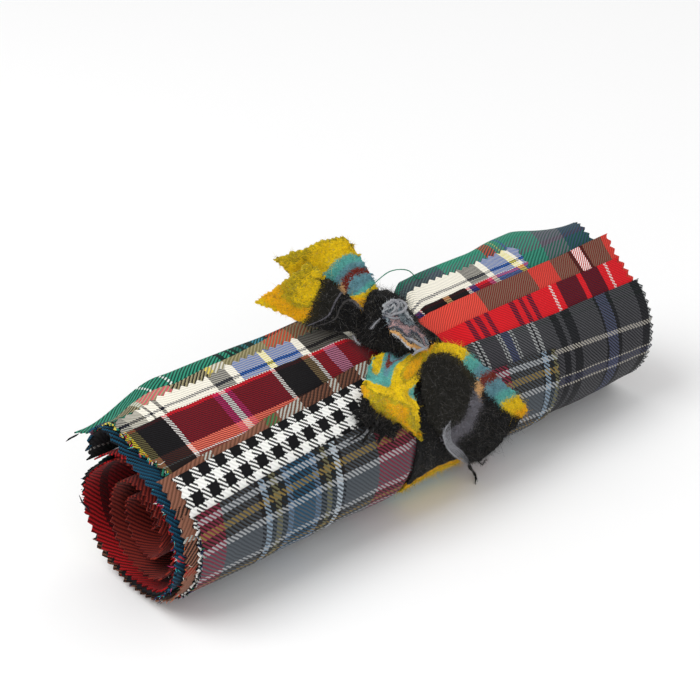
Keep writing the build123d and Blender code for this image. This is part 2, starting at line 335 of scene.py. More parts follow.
def woven(name, warp, weft, box, hand=1, thread=THREAD, bands=None, warp_mod=None, weft_mod=None,
          sheen=0.25, fuzz=0.12, shade=0.30, warp_share=2.0, gain=1.0, over=None):
    """2/2 twill: warp colours across u, weft colours across v, threads floating over two."""
    # shade is the depth of the painted shade in the thread and rib valleys, deepened here; gain raises the overall
    # brightness
    shade, gain = min(0.85, shade * 2.3), gain * 1.08
    g = Graph(name)
    uvn = g.nt.nodes.new("ShaderNodeUVMap")
    uvn.uv_map = "thread"
    sep = g.nt.nodes.new("ShaderNodeSeparateXYZ")
    g.link(uvn.outputs[0], sep.inputs[0])
    u0 = g.math("MULTIPLY", sep.outputs[0], 100.0)
    v0 = g.math("MULTIPLY", sep.outputs[1], 100.0)
    # threads wander a little
    wob = g.noise(uvn.outputs[0], 14.0, 2.0)
    wob2 = g.noise(uvn.outputs[0], 9.0, 2.0)
    u = g.math("ADD", u0, g.math("MULTIPLY", g.math("SUBTRACT", wob, 0.5), 1.3))
    v = g.math("ADD", v0, g.math("MULTIPLY", g.math("SUBTRACT", wob2, 0.5), 1.3))
    iu = g.math("FLOOR", g.math("DIVIDE", u, thread))
    iv = g.math("FLOOR", g.math("DIVIDE", v, thread))
    uc = g.math("MULTIPLY", g.math("ADD", iu, 0.5), thread)
    vc = g.math("MULTIPLY", g.math("ADD", iv, 0.5), thread)
    ulo, uhi, vlo, vhi = box
    if warp_mod:
        uc = g.math("FLOORED_MODULO", uc, warp_mod) if False else g.math("WRAP", uc, warp_mod, 0.0)
        ulo, uhi = 0.0, warp_mod
    if weft_mod:
        vc = g.math("WRAP", vc, weft_mod, 0.0)
        vlo, vhi = 0.0, weft_mod
    cw, keep = g.stripes(uc, ulo, uhi, warp)
    if bands:                                   # a second set of warp colours above a line
        line, warp2 = bands
        cw2, keep2 = g.stripes(uc, ulo, uhi, warp2)
        sel = g.math("LESS_THAN", vc, line)
        cw = g.mix(sel, cw, cw2)
        keep = g.math("ADD", g.math("MULTIPLY", keep, g.math("SUBTRACT", 1.0, sel)), g.math("MULTIPLY", keep2, sel))
    cf, _ = g.stripes(vc, vlo, vhi, weft)
    kn = g.nt.nodes.new("ShaderNodeCombineXYZ")
    for i in range(3):
        g.link(keep, kn.inputs[i])
    cf = g.mix(1.0, cf, kn.outputs[0], "MULTIPLY")
    ph = g.math("ADD", iu, iv) if hand > 0 else g.math("SUBTRACT", iu, iv)
    ph = g.math("WRAP", ph, 4.0, 0.0)
    up = g.math("LESS_THAN", ph, warp_share - 0.5)
    col = g.mix(up, cf, cw)
    if over:
        col = over(g, col, u, v, uc, vc)
    # round each thread and sink the valley between two ribs; the same height also darkens the base colour towards the
    # thread edges and rib valleys, as painted shade
    su = g.math("ABSOLUTE", g.math("SINE", g.math("MULTIPLY", u, math.pi / thread)))
    sv = g.math("ABSOLUTE", g.math("SINE", g.math("MULTIPLY", v, math.pi / thread)))
    ridge = g.math("ADD", g.math("MULTIPLY", su, up), g.math("MULTIPLY", sv, g.math("SUBTRACT", 1.0, up)))
    rp = g.math("ADD", u, v) if hand > 0 else g.math("SUBTRACT", u, v)
    rib = g.math("ABSOLUTE", g.math("SINE", g.math("MULTIPLY", rp, math.pi / (4 * thread))))
    height = g.math("ADD", g.math("MULTIPLY", ridge, 0.45), g.math("MULTIPLY", rib, 0.75))
    lit = g.math("ADD", 1.0 - shade, g.math("MULTIPLY", height, shade))
    fib = g.noise(uvn.outputs[0], 210.0, 3.0, 0.7)
    slow = g.noise(uvn.outputs[0], 3.2, 2.0)
    lit = g.math("MULTIPLY", lit, g.math("ADD", 1.0 - fuzz, g.math("MULTIPLY", fib, 2 * fuzz)))
    lit = g.math("MULTIPLY", lit, g.math("ADD", 0.93, g.math("MULTIPLY", slow, 0.14)))
    lit = g.math("MULTIPLY", lit, gain)
    n = g.nt.nodes.new("ShaderNodeCombineXYZ")
    for i in range(3):
        g.link(lit, n.inputs[i])
    col = g.mix(1.0, col, n.outputs[0], "MULTIPLY")
    b = g.nt.nodes.new("ShaderNodeBsdfPrincipled")
    g.link(col, b.inputs["Base Color"])
    g.link(g.math("ADD", 0.84, g.math("MULTIPLY", fib, 0.12)), b.inputs["Roughness"])
    b.inputs["Specular IOR Level"].default_value = 0.12
    b.inputs["Sheen Weight"].default_value = sheen * 0.3
    b.inputs["Sheen Roughness"].default_value = 0.45
    bump = g.nt.nodes.new("ShaderNodeBump")
    bump.inputs["Strength"].default_value = 0.65
    bump.inputs["Distance"].default_value = 0.00022
    g.link(g.math("ADD", height, g.math("MULTIPLY", fib, 0.5)), bump.inputs["Height"])
    g.link(bump.outputs[0], b.inputs["Normal"])
    g.link(b.outputs[0], g.out.inputs[0])
    return g.mat


def seq(start, *pairs):
    """(width, colour) pairs to (start, colour) stops."""
    out, p = [], start
    for w, c in pairs:
        out.append((p, c))
        p += w
    return out


BLACK, INK, COAL = (26, 26, 29), (20, 22, 30), (44, 45, 50)
WHITE, CREAM = (232, 230, 224), (246, 241, 226)

# ------------------------------------------------------------------ the cloth samples
STEP = 1.15           # grid step; one pinked tooth is four steps


def pinked(n):
    return np.array([0.0, 0.5, 1.0, 0.5])[np.arange(n) % 4]


def lerp(x, xs, ys):
    return np.interp(x, xs, ys)


def sample(name, node, depth, x0, x1, t0, t1, mat, top=None, left=None, right=None, bottom=None, uv=None,
           lift=None, coarse=False, mapping=None, thick=CLOTH, tooth=2.1, tooth_t=0.0):
    """One cloth sample, cut with pinking shears at its two ends, and along its long edges only where tooth_t is given.
    """
    nj = int(round((t1 - t0) / STEP / 4)) * 4
    if coarse:
        fine = 12 * STEP
        xs = np.concatenate([x0 + np.arange(13) * STEP, np.linspace(x0 + fine + 5, x1 - fine - 5, 42),
                             x1 - fine + np.arange(13) * STEP])
        ni = len(xs) - 1
    else:
        ni = int(round((x1 - x0) / STEP / 4)) * 4
        xs = np.linspace(x0, x1, ni + 1)
    ts = np.linspace(t0, t1, nj + 1)
    fi = (xs - x0) / (x1 - x0)
    fj = (ts - t0) / (t1 - t0)
    X, T = np.meshgrid(xs, ts)
    FI, FJ = np.meshgrid(fi, fj)
    if top is not None:
        T = T + (top(X) - t0) * (1 - FJ)
    if bottom is not None:
        T = T + (bottom(X) - t1) * FJ
    if left is not None:
        X = X + left(T) * (1 - FI) ** 3
    if right is not None:
        X = X + right(T) * FI ** 3
    reach = 5 * STEP
    pj = pinked(nj + 1)[:, None] * tooth
    X = X + pj * np.clip(1 - (X - X[:, :1]) / reach, 0, 1) - pj * np.clip(1 - (X[:, -1:] - X) / reach, 0, 1)
    if not coarse:
        pi_ = pinked(ni + 1)[None, :] * tooth_t
        T = T + pi_ * np.clip(1 - (T - T[:1]) / reach, 0, 1) - pi_ * np.clip(1 - (T[-1:] - T) / reach, 0, 1)
    # cut edges are never quite straight
    g = np.random.default_rng(abs(hash_name(name)))
    jag = g.normal(size=(nj + 1, 1)) * 0.22
    X = X + jag * np.clip(1 - (X - X[:, :1]) / 3, 0, 1)
    jag = g.normal(size=(nj + 1, 1)) * 0.22
    X = X + jag * np.clip(1 - (X[:, -1:] - X) / 3, 0, 1)
    P = (mapping or wound)(X, T, depth) if lift is None else wound(X, T, depth, lift)
    U = uv(X, T) if uv else (X, T)
    UV = np.stack([U[0] / 100.0, U[1] / 100.0], -1)
    ob = shell(name, P, UV, mat, thick)
    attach(ob, "root")
    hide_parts(node)
    EDGES[name] = (P, UV)
    return ob


def hash_name(s):
    h = 0
    for ch in s:
        h = (h * 131 + ord(ch)) % 1000003
    return h


EDGES = {}


def t_end(a, depth):
    return (SPLIT - a) * math.pi / 180 * (R_FRONT - depth * PITCH * 0.9)


# --- muted grey, mauve and blue tartan, outermost
GREY, MAUVE, LBLUE, TEALD, OLIVE, BLUE = (74, 80, 86), (132, 46, 66), (142, 162, 180), (24, 38, 46), (112, 110, 82), (32, 82, 112)
DARK, GOLD = (30, 24, 18), (128, 106, 56)
muted_warp = [(-152, BLACK), (-147.5, MAUVE), (-134, GREY), (-112, INK), (-109.8, LBLUE), (-106, TEALD), (-103.4, OLIVE),
              (-99.8, TEALD), (-95.8, (96, 124, 152)), (-92, BLUE), (-79, (96, 124, 152)), (-75.4, TEALD), (-71.4, OLIVE),
              (-68, TEALD), (-65.6, (186, 198, 208)), (-61.6, INK), (-59.5, GREY), (-38, MAUVE), (53, GREY), (75, TEALD),
              (76.5, LBLUE), (80, TEALD), (82.5, OLIVE), (85.8, DARK)]
WB = (158, 160, 162)
muted_weft = seq(-4, (6, DARK), (3.3, WB), (3.2, DARK), (3.7, GOLD), (4.6, DARK), (3.5, WB), (14.7, GREY), (3.5, WB),
                 (4.8, DARK), (3.5, GOLD), (3.0, DARK), (3.5, WB), (22, GREY), (40, MAUVE), (40, GREY))
m_muted = woven("muted_tartan", muted_warp, muted_weft, (-152, 90, -4, 155), hand=-1, thread=0.60, sheen=0.35, fuzz=0.2, shade=0.26)


def muted_top(x):
    return 12.0 + 5.5 * np.where(x < -20, ((x + 20) / 130) ** 2, ((x + 20) / 107) ** 2)


sample("muted_tartan_sample", "muted_tartan_cloth", 0, -149.5, 87, 12, t_end(-120, 0), m_muted, top=muted_top,
       left=lambda t: 1.5 - 0.015 * t, uv=lambda x, t: (x, t - muted_top(x)))

# --- charcoal tartan, far end
CH = (62, 62, 66)
char_warp = [(5, (98, 99, 102)), (41, (188, 190, 190)), (42.1, COAL), (43.2, (188, 190, 190)), (44.5, (80, 78, 84)), (55.5, (188, 190, 190)), (56.7, COAL),
             (57.6, (188, 190, 190)), (58.8, (80, 88, 122)), (63.6, (188, 190, 190)), (64.6, COAL), (65.3, (188, 190, 190)), (66.2, (98, 99, 103)),
             (76, (188, 190, 190)), (77.6, COAL), (79.2, (188, 190, 190)), (81.2, (88, 88, 92)), (92, (22, 24, 28)), (96, (88, 88, 92)), (99, (22, 24, 28)), (105, (88, 88, 92)),
             (123, (22, 24, 28)), (125, (88, 94, 122)), (132, (22, 24, 28)), (135, (88, 88, 92)), (150, (22, 24, 28)), (155.5, (188, 190, 190))]
CRL = (172, 166, 156)
char_weft = seq(-14, (12.5, (36, 36, 40)), (1.6, (24, 34, 32)), (1.4, (36, 36, 40)), (2.4, (24, 32, 30)), (14.6, (38, 39, 42)), (2.3, CRL),
                (3, (34, 34, 38)), (9, (30, 30, 34)), (1.4, CRL), (4.6, (52, 54, 76)), (1.4, CRL), (3, (34, 34, 38)), (22, (32, 32, 36)),
                (1.4, CRL), (22, (36, 36, 40)), (1.4, CRL), (60, (36, 36, 40)))
m_char = woven("charcoal_tartan", char_warp, char_weft, (5, 162, -14, 150), hand=-1, thread=0.50, sheen=0.3, fuzz=0.2, shade=0.30, gain=0.84)
sample("charcoal_tartan_sample", "charcoal_tartan_cloth", 1, 8, 158, -3.5, t_end(-127.5, 1), m_char,
       top=lambda x: lerp(x, [40, 60, 80, 100, 120, 150], [-3.5, -1.5, 0, 1, 1, 2]),
       uv=lambda x, t: (x + 0.03 * t, t - 0.088 * (x - 90)))

# --- houndstooth, near end
PER = 10.05
hound = [(0, (236, 236, 232)), (PER * 0.43, (14, 14, 16))]
m_hound = woven("houndstooth", hound, hound, (0, PER, 0, PER), hand=-1, thread=PER / 16, warp_mod=PER, weft_mod=PER,
                sheen=0.2, fuzz=0.06, shade=0.12)
sample("houndstooth_sample", "houndstooth_cloth", 1, -149.6, 5, -3, t_end(-135, 1), m_hound,
       top=lambda x: -2.2 - 0.0575 * (x + 147),
       uv=lambda x, t: (x + 146.6 + PER * 20.25, t - 6.1 + 0.0824 * (x + 146.6) + PER * 20.25))

# --- brown tartan, near end
BR, BRD, GW = (132, 88, 70), (52, 36, 29), (172, 176, 168)
brown_warp = [(-157, BR), (-128.8, GW), (-123, BR), (-89.3, (58, 112, 68)), (-82, BR), (-81, GW), (-65.4, BRD), (-46.4, GW),
              (-41.5, BRD), (-28.8, GW), (-21, BRD)]
brown_weft = seq(-30, (40, (122, 80, 62)), (4, BRD), (10, BR), (3, GW), (14, BRD), (4, (150, 40, 30)), (30, BR), (3, GW), (80, BRD))
m_brown = woven("brown_tartan", brown_warp, brown_weft, (-157, 6, -30, 160), hand=1, fuzz=0.16)
sample("brown_tartan_sample", "brown_tartan_cloth", 2, -156.0, 4, -8, t_end(-142.5, 2), m_brown,
       top=lambda x: lerp(x, [-153, -129, -103, -89, -67, -45, -28], [-4, -6.7, -8, -10.5, -12.8, -15.0, -16.5]))

# --- bright red tartan, far end
RED, NAVY, WINE = (216, 26, 36), (26, 22, 52), (78, 16, 40)
red_warp = [(5, RED), (45, NAVY, 0.55), (48.4, RED), (51, NAVY, 0.55), (54.4, RED), (57, NAVY, 0.55), (60.4, RED), (74.3, NAVY, 0.55),
            (77.7, RED), (80.4, NAVY, 0.55), (83.8, RED), (86.8, NAVY, 0.55), (90.2, RED), (102.2, WHITE), (104.2, RED),
            (107.6, WINE, 0.18), (122.6, RED), (125.8, WINE, 0.18), (138, RED), (142.0, WHITE), (144.0, RED)]
red_weft = seq(-20, (45, (206, 24, 34)), (4, NAVY), (4, RED), (4, NAVY), (25, RED), (14, WINE), (3, RED), (14, WINE), (60, RED))
m_red = woven("bright_red_tartan", red_warp, red_weft, (5, 158, -20, 150), hand=-1, thread=0.48, fuzz=0.12, shade=0.30)
sample("bright_red_tartan_sample", "bright_red_tartan_cloth", 2, 9, 154.5, -15, t_end(-142.5, 2), m_red,
       top=lambda x: lerp(x, [30, 100, 150], [-15, -14.5, -13.5]),
       uv=lambda x, t: (x + 0.15 * ease((x - 45) / 55) * (t + 8), t))

# --- salmon tartan, far end
SAL, BRN, RD2 = (224, 76, 62), (116, 96, 80), (210, 62, 54)
sal_warp = [(5, SAL), (62.5, BRN, 0.34), (98.5, RD2, 0.9), (114, BRN, 0.34), (127.5, (52, 24, 22), 0.2), (130, (240, 228, 226)),
            (136, (52, 24, 22), 0.2), (138, BRN, 0.34), (151.5, RD2, 0.9)]
sal_weft = seq(-34, (44, (212, 68, 56)), (20, (120, 84, 68)), (20, SAL), (4, WHITE), (30, BRN), (60, SAL))
m_sal = woven("salmon_tartan", sal_warp, sal_weft, (5, 160, -34, 150), hand=1, thread=0.40, fuzz=0.12, shade=0.34)


def sal_lift(q, x):
    return 16.0 * ease((q - 12) / 14) * ease((x - 118) / 40)


sample("salmon_tartan_sample", "salmon_tartan_cloth", 3, 9, 157, -27.5, t_end(-150, 3), m_sal, lift=sal_lift)

# --- dress tartan, wine with black, cream and blue
WN, MG = (140, 20, 34), (190, 44, 104)
dress_warp = [(-170, (226, 206, 60), 0.6), (-153.0, (104, 100, 64), 0.3), (-149.2, (30, 30, 33), 0.06), (-133.4, WHITE), (-131.3, WN), (-103.8, MG), (-100.4, WN),
              (-99.6, WHITE), (-97.1, WN), (-96.5, MG), (-93.2, WN), (-68.2, WHITE), (-66.0, (30, 30, 33), 0.06), (-49.3, (124, 108, 74), 0.5),
              (-44.4, WHITE), (-42.7, (160, 24, 36)), (-35.5, (206, 130, 160), 0.8), (-28.2, (160, 24, 36)), (25.5, (50, 52, 128), 0.25),
              (29.5, WHITE), (30.8, (26, 26, 29), 0.05), (44.2, (206, 176, 118), 0.4), (48.3, (26, 26, 29), 0.05), (61.3, WHITE),
              (62.6, (56, 66, 140), 0.25), (66.8, (196, 24, 44)), (75.8, (232, 96, 146)), (78.8, CREAM, 0.6), (82, (84, 122, 184), 0.8),
              (97.3, (238, 228, 124), 1.0), (102, (84, 122, 184), 0.8)]
dress_warp2 = [(-170, (206, 190, 84), 0.4), (-155, (40, 40, 40), 0.5), (-149, (150, 146, 132), 0.6), (-140.5, CREAM), (-137.2, (30, 30, 33), 0.5), (-136.1, CREAM),
               (-131.3, (30, 30, 33), 0.5), (-129.6, CREAM), (-98.8, (80, 80, 80), 0.45), (-87.7, CREAM), (-83.8, (58, 112, 200), 0.5),
               (-67.2, (238, 226, 110)), (-62.7, (58, 112, 200), 0.5), (-47.2, CREAM), (-42.2, (44, 40, 36), 0.14), (-16, CREAM),
               (66.7, (80, 80, 80), 0.45), (77.7, CREAM), (82, (58, 112, 200), 0.5), (96.7, (238, 226, 110)), (101, CREAM),
               (103, (58, 112, 200), 0.5)]
dress_weft = seq(-62, (25.7, CREAM), (1.4, (16, 26, 52)), (3.0, CREAM), (1.3, (205, 20, 34)), (15.7, (50, 16, 24)), (5.5, (232, 122, 96)),
                 (1.1, WHITE), (14, BR), (16, (26, 26, 30)), (3, WHITE), (40, (86, 24, 32)), (40, CREAM))
m_dress = woven("dress_tartan", dress_warp, dress_weft, (-170, 108, -62, 160), hand=-1, thread=0.40, bands=(-31.9, dress_warp2), fuzz=0.12, shade=0.28)


def dress_shear(x):
    return 0.177 + 0.17 * ease((x - 20) / 70)


def dress_lift(q, x):
    return 5.0 * ease((q - 30) / 12) * (0.5 + 0.5 * np.sin(x / 17.0))


sample("dress_tartan_sample", "dress_tartan_cloth", 4, -157, 103, -43, t_end(-165, 4), m_dress, lift=dress_lift, tooth_t=2.0,
       top=lambda x: lerp(x, [-151, -130, -105, -85, -50, 45, 60, 103], [-42, -43, -41.5, -43.5, -43.5, -44.5, -44, -45]),
       left=lambda t: lerp(t, [-45, -30, -20, -10, -4], [0, 0, 2.0, 6.5, 10.0]),
       uv=lambda x, t: (x - dress_shear(x) * (t + 22.8), t))

# --- green and orange tartan: the near half's long flap
GN, GND = (44, 142, 114), (14, 34, 34)
go_warp = [(-170, (214, 196, 84), 0.7), (-156, (24, 24, 22)), (-141, (190, 200, 190)), (-138, (200, 84, 98)), (-121, (26, 26, 24)),
           (-99, (216, 196, 84)), (-96, (206, 204, 194)), (-88, (112, 106, 70)), (-62, (186, 64, 38), 0.7), (-46, (112, 60, 40), 0.6),
           (-36, (40, 34, 30), 0.5)]
go_warp2 = [(-170, GN), (-130.4, (214, 226, 218)), (-129.2, GN), (-119.4, (214, 226, 218)), (-118.2, GN), (-88, GND, 0.4), (-85.4, GN),
            (-82.6, GND, 0.4), (-80.4, GN), (-78.6, GND, 0.4), (-76.8, (30, 96, 84)), (-75, GND, 0.4), (-72.5, (40, 104, 112)), (-70, GND, 0.4), (-66.5, (48, 122, 142)),
            (-58.5, GND, 0.4), (-56.5, (186, 64, 38), 0.55), (-46, (112, 60, 40), 0.5), (-36, (40, 34, 30), 0.4)]
go_weft = seq(-95, (47.2, (8, 70, 56)), (12, (176, 166, 128)), (10, GN), (3, (190, 60, 36)), (30, GN), (12, (40, 60, 90)), (30, GN),
              (3, (216, 196, 84)), (30, (26, 70, 60)), (5, (186, 64, 38)), (40, GN), (12, (40, 60, 90)), (40, GN))
m_go = woven("green_orange_tartan", go_warp, go_weft, (-170, 10, -95, 200), hand=1, bands=(-47.8, go_warp2), fuzz=0.16, shade=0.34)


def go_rows(x, t):
    return t - lerp(x, [-160, -150, -140, -136, -118, -100, -80, -62, -40], [-12, -10, -7, -4, 2.5, 0, -0.5, -3, -8]) * ease((-t - 20) / 20)


def go_top(x):
    return -57.5 - 20 * ease((-112 - x) / 44) + 1.0 * np.sin(x / 13.0)


sample("green_orange_tartan_sample", "green_orange_tartan_cloth", 5, -158, 4, -57, t_end(-232.5, 5), m_go, top=go_top,
       left=lambda t: 7.0 * ease((t + 34) / 22),
       uv=lambda x, t: (x, go_rows(x, t)))

# --- green and navy tartan: the far half's long flap
gn_warp = [(4, (54, 58, 66)), (46, (58, 64, 80)), (55, (48, 138, 112)), (83, (170, 72, 48), 0.5), (90.5, (52, 132, 110)), (93, (150, 160, 90)),
           (94, (52, 132, 110)), (97, (60, 80, 150)), (98, (52, 132, 110)), (119, (98, 96, 106), 0.8), (135, (48, 70, 94), 0.6), (152, (30, 44, 60), 0.6)]
gn_weft = seq(-80, (29.5, (40, 126, 102)), (9, (84, 104, 104)), (4, (96, 84, 96)), (20, (40, 110, 92)), (6, (150, 60, 44)), (30, (40, 110, 92)),
              (14, (40, 60, 90)), (30, (40, 110, 92)), (4, (200, 190, 110)), (30, (40, 60, 90)), (60, (40, 110, 92)))
m_gn = woven("green_navy_tartan", gn_warp, gn_weft, (4, 156, -80, 200), hand=1, fuzz=0.14, shade=0.30)
sample("green_navy_tartan_sample", "green_navy_tartan_cloth", 5, 8, 150.5, -57, t_end(-232.5, 5), m_gn,
       top=lambda x: -56.5 - 6 * ease((x - 75) / 25) + 0.8 * np.sin(x / 11.0),
       uv=lambda x, t: (x + 0.14 * (t + 45), t))

# --- inner samples, seen at the ends and under the flaps
BULGE = {6: 12.5, 7: 11.5}       # the layers under the near flap stand off the roll there


def at_angle(x, t, depth):
    """Like wound, but for layers that never leave the roll: t only turns into an angle."""
    a = SPLIT - t / (R_FRONT - depth * PITCH * 0.9) * 180 / np.pi
    r = radius(a, depth) + lumps(x, a) - cinch(x) * (1 - 0.35 * bell(a, -90, 40))
    r = r + BULGE.get(depth, 0.0) * bell(a, 112, 20) * ease((-112 - x) / 44)
    return place(x, -r * np.cos(np.radians(a)), r * np.sin(np.radians(a)))


teal_st = seq(-162, (30, (26, 84, 112)), (8, (14, 30, 46)), (22, (24, 96, 128)), (3, (190, 60, 70)), (40, (20, 84, 112)), (8, (14, 30, 46)),
              (60, (24, 96, 128)), (3, WHITE), (60, (20, 84, 112)), (8, (14, 30, 46)), (90, (24, 96, 128)))
teal_wf = seq(-80, (34, (14, 18, 24)), (3, (150, 60, 70)), (26, (14, 18, 24)), (8, (18, 40, 56)), (40, (12, 32, 48)), (3, (190, 60, 70)),
              (40, (14, 36, 52)), (8, (26, 104, 136)), (100, (12, 32, 48)))
m_teal = woven("teal_tartan", teal_st, teal_wf, (-162, 170, -80, 220), hand=-1, shade=0.35)
sample("teal_tartan_sample", "teal_tartan_cloth", 6, -159.5, 144, t_end(135, 6), t_end(-225, 6), m_teal, coarse=True,
       mapping=at_angle, left=lambda t: 0.8 * np.sin(t / 21.0) + 5.5 * ease((t - 60) / 14))
blk = seq(-160, (60, (24, 24, 27)), (1.2, (150, 150, 146)), (60, (24, 24, 27)), (1.2, (150, 150, 146)), (60, (24, 24, 27)), (1.2, (150, 150, 146)), (160, (24, 24, 27)))
m_black = woven("black_tartan", blk, seq(-100, (50, (20, 20, 23)), (1.2, (150, 150, 146)), (50, (20, 20, 23)), (1.2, (150, 150, 146)), (150, (20, 20, 23))),
                (-160, 165, -100, 220), hand=1, shade=0.35)


# these two wind right round, so their near and far edges show all the way
sample("black_tartan_sample", "black_tartan_cloth", 7, -156, 151, t_end(142.5, 7), t_end(-232.5, 7), m_black, coarse=True,
       mapping=at_angle, left=lambda t: -1.5 + 1.5 * np.sin(t / 17.0 + 1))
red_st = seq(-162, (14, (176, 26, 30)), (5, (60, 14, 18)), (40, (140, 20, 26)), (5, (60, 14, 18)), (60, (140, 20, 26)), (5, (60, 14, 18)), (60, (140, 20, 26)), (5, (60, 14, 18)), (160, (140, 20, 26)))
m_redtw = woven("red_twill", red_st, seq(-100, (60, (110, 12, 20)), (6, (52, 12, 16)), (60, (112, 14, 20)), (6, (52, 12, 16)), (60, (112, 14, 20)), (60, (112, 14, 20))),
                (-162, 165, -100, 200), hand=1, shade=0.45, sheen=0.3)
sample("red_twill_sample", "red_twill_cloth", 8, -157, 146, t_end(135, 8), t_end(-240, 8), m_redtw, coarse=True, mapping=at_angle,
       left=lambda t: 1.0 * np.sin(t / 15.0 + 2))


def coiled(outset):
    def f(x, a, depth):
        y, z = core_point(a, -outset)
        w = lumps(x, a) * 0.6
        r = np.hypot(y, z)
        return place(x, y * (1 + w / r), z * (1 + w / r))
    return f


def coil_sample(name, node, x0, x1, a0, a1, outset, mat, length):
    n = int(round(length / STEP / 4)) * 4
    # even steps along the coil
    aa = np.linspace(a0, a1, 4000)
    y, z = core_point(aa, -outset)
    s = np.concatenate([[0], np.cumsum(np.hypot(np.diff(y), np.diff(z)))])
    a = np.interp(np.linspace(0, s[-1], n + 1), s, aa)
    fine = 12 * STEP
    xs = np.concatenate([x0 + np.arange(13) * STEP, np.linspace(x0 + fine + 5, x1 - fine - 5, 42), x1 - fine + np.arange(13) * STEP])
    X, A = np.meshgrid(xs, a)
    S = np.linspace(0, s[-1], n + 1)[:, None] + 0 * X
    drift = (4.5 * ease((-380 - A) / 200) - 1.0 + 1.2 * np.sin(np.radians(A * 1.3))) * (1 - (X - x0) / (x1 - x0))
    X = X + drift
    pj = pinked(n + 1)[:, None] * 2.2
    reach = 5 * STEP
    X = X + pj * np.clip(1 - (X - X[:, :1]) / reach, 0, 1) - pj * np.clip(1 - (X[:, -1:] - X) / reach, 0, 1)
    P = coiled(outset)(X, A, 0)
    UV = np.stack([X / 100.0, S / 100.0], -1)
    ob = shell(name, P, UV, mat)
    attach(ob, "root")
    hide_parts(node)
    EDGES[name] = (P, UV)
    return float(s[-1])


bw = [(0, (200, 198, 192)), (3, (24, 24, 26))]
m_bw = woven("black_white_check", bw, bw, (0, 10, 0, 10), hand=1, warp_mod=10.0, weft_mod=10.0)
core_st = seq(-165, (5, (186, 40, 36)), (34, (124, 40, 30)), (6, (60, 18, 20)), (60, (112, 34, 28)), (6, (60, 18, 20)), (60, (112, 34, 28)), (6, (60, 18, 20)), (170, (112, 34, 28)))
core_wf = seq(0, (40, (88, 20, 22)), (8, (56, 34, 26)), (40, (92, 20, 22)), (8, (60, 14, 18)), (50, (96, 24, 24)), (8, (56, 34, 26)), (300, (88, 20, 22)))
m_core = woven("maroon_core", core_st, core_wf, (-165, 165, 0, 480), hand=1, shade=0.42)
bw_len = coil_sample("black_white_sample", "black_white_cloth", -153.5, 135, 22.5, -195, PITCH, m_bw, 130)
core_len = coil_sample("maroon_core_sample", "maroon_core_cloth", -157, 147, 105, -735, 0.0, m_core, 330)

# ------------------------------------------------------------------ the tie: a torn strip of brushed wool
def spline(c, n):
    """Smooth curve through the control values c[k], sampled n times."""
    c = np.asarray(c, float)
    m = len(c)
    e = np.concatenate([2 * c[:1] - c[1:2], c, 2 * c[-1:] - c[-2:-1]])
    t = np.linspace(0, m - 1, n)
    i = np.clip(np.floor(t).astype(int), 0, m - 2)
    f = (t - i).reshape((-1,) + (1,) * (c.ndim - 1))
    a, b, d, g = e[i], e[i + 1], e[i + 2], e[i + 3]
    return 0.5 * (2 * b + (d - a) * f + (2 * a - 5 * b + 4 * d - g) * f ** 2 + (3 * b - a - 3 * d + g) * f ** 3)


def patch(ctrl, nj, ni):
    """A surface through rows of control points: nj along the rows' order, ni along each row."""
    rows = np.stack([spline(np.asarray(r, float), ni) for r in ctrl])
    return spline(rows, nj)


def waves(P, seed, size, depth):
    """Smooth unevenness over points in mm."""
    g = np.random.default_rng(seed)
    out = 0.0
    for k in range(7):
        d = g.normal(size=3)
        d /= np.linalg.norm(d)
        s = size * g.uniform(0.6, 1.6)
        out = out + np.sin((P @ d) * 2 * np.pi / s + g.uniform(0, 6.28))
    return depth * out / 3.0


def normals_of(P):
    n = np.cross(np.gradient(P, axis=0), np.gradient(P, axis=1))
    return n / np.maximum(np.linalg.norm(n, axis=-1, keepdims=True), 1e-9)


def mixed_object(name, V, quads, tris, U, mat):
    me = bpy.data.meshes.new(name)
    m4, m3 = len(quads), len(tris)
    me.vertices.add(len(V))
    me.vertices.foreach_set("co", np.ascontiguousarray(V, dtype=np.float32).ravel())
    loops = np.concatenate([quads.ravel(), tris.ravel()]).astype(np.int32)
    me.loops.add(len(loops))
    me.loops.foreach_set("vertex_index", loops)
    me.polygons.add(m4 + m3)
    me.polygons.foreach_set("loop_start", np.concatenate([np.arange(m4) * 4, m4 * 4 + np.arange(m3) * 3]).astype(np.int32))
    me.polygons.foreach_set("loop_total", np.concatenate([np.full(m4, 4), np.full(m3, 3)]).astype(np.int32))
    me.update(calc_edges=True)
    uv = me.uv_layers.new(name="thread")
    uv.data.foreach_set("uv", np.ascontiguousarray(U[loops], dtype=np.float32).ravel())
    me.polygons.foreach_set("use_smooth", np.ones(m4 + m3, dtype=bool))
    me.materials.append(mat)
    ob = bpy.data.objects.new(name, me)
    bpy.context.scene.collection.objects.link(ob)
    return ob


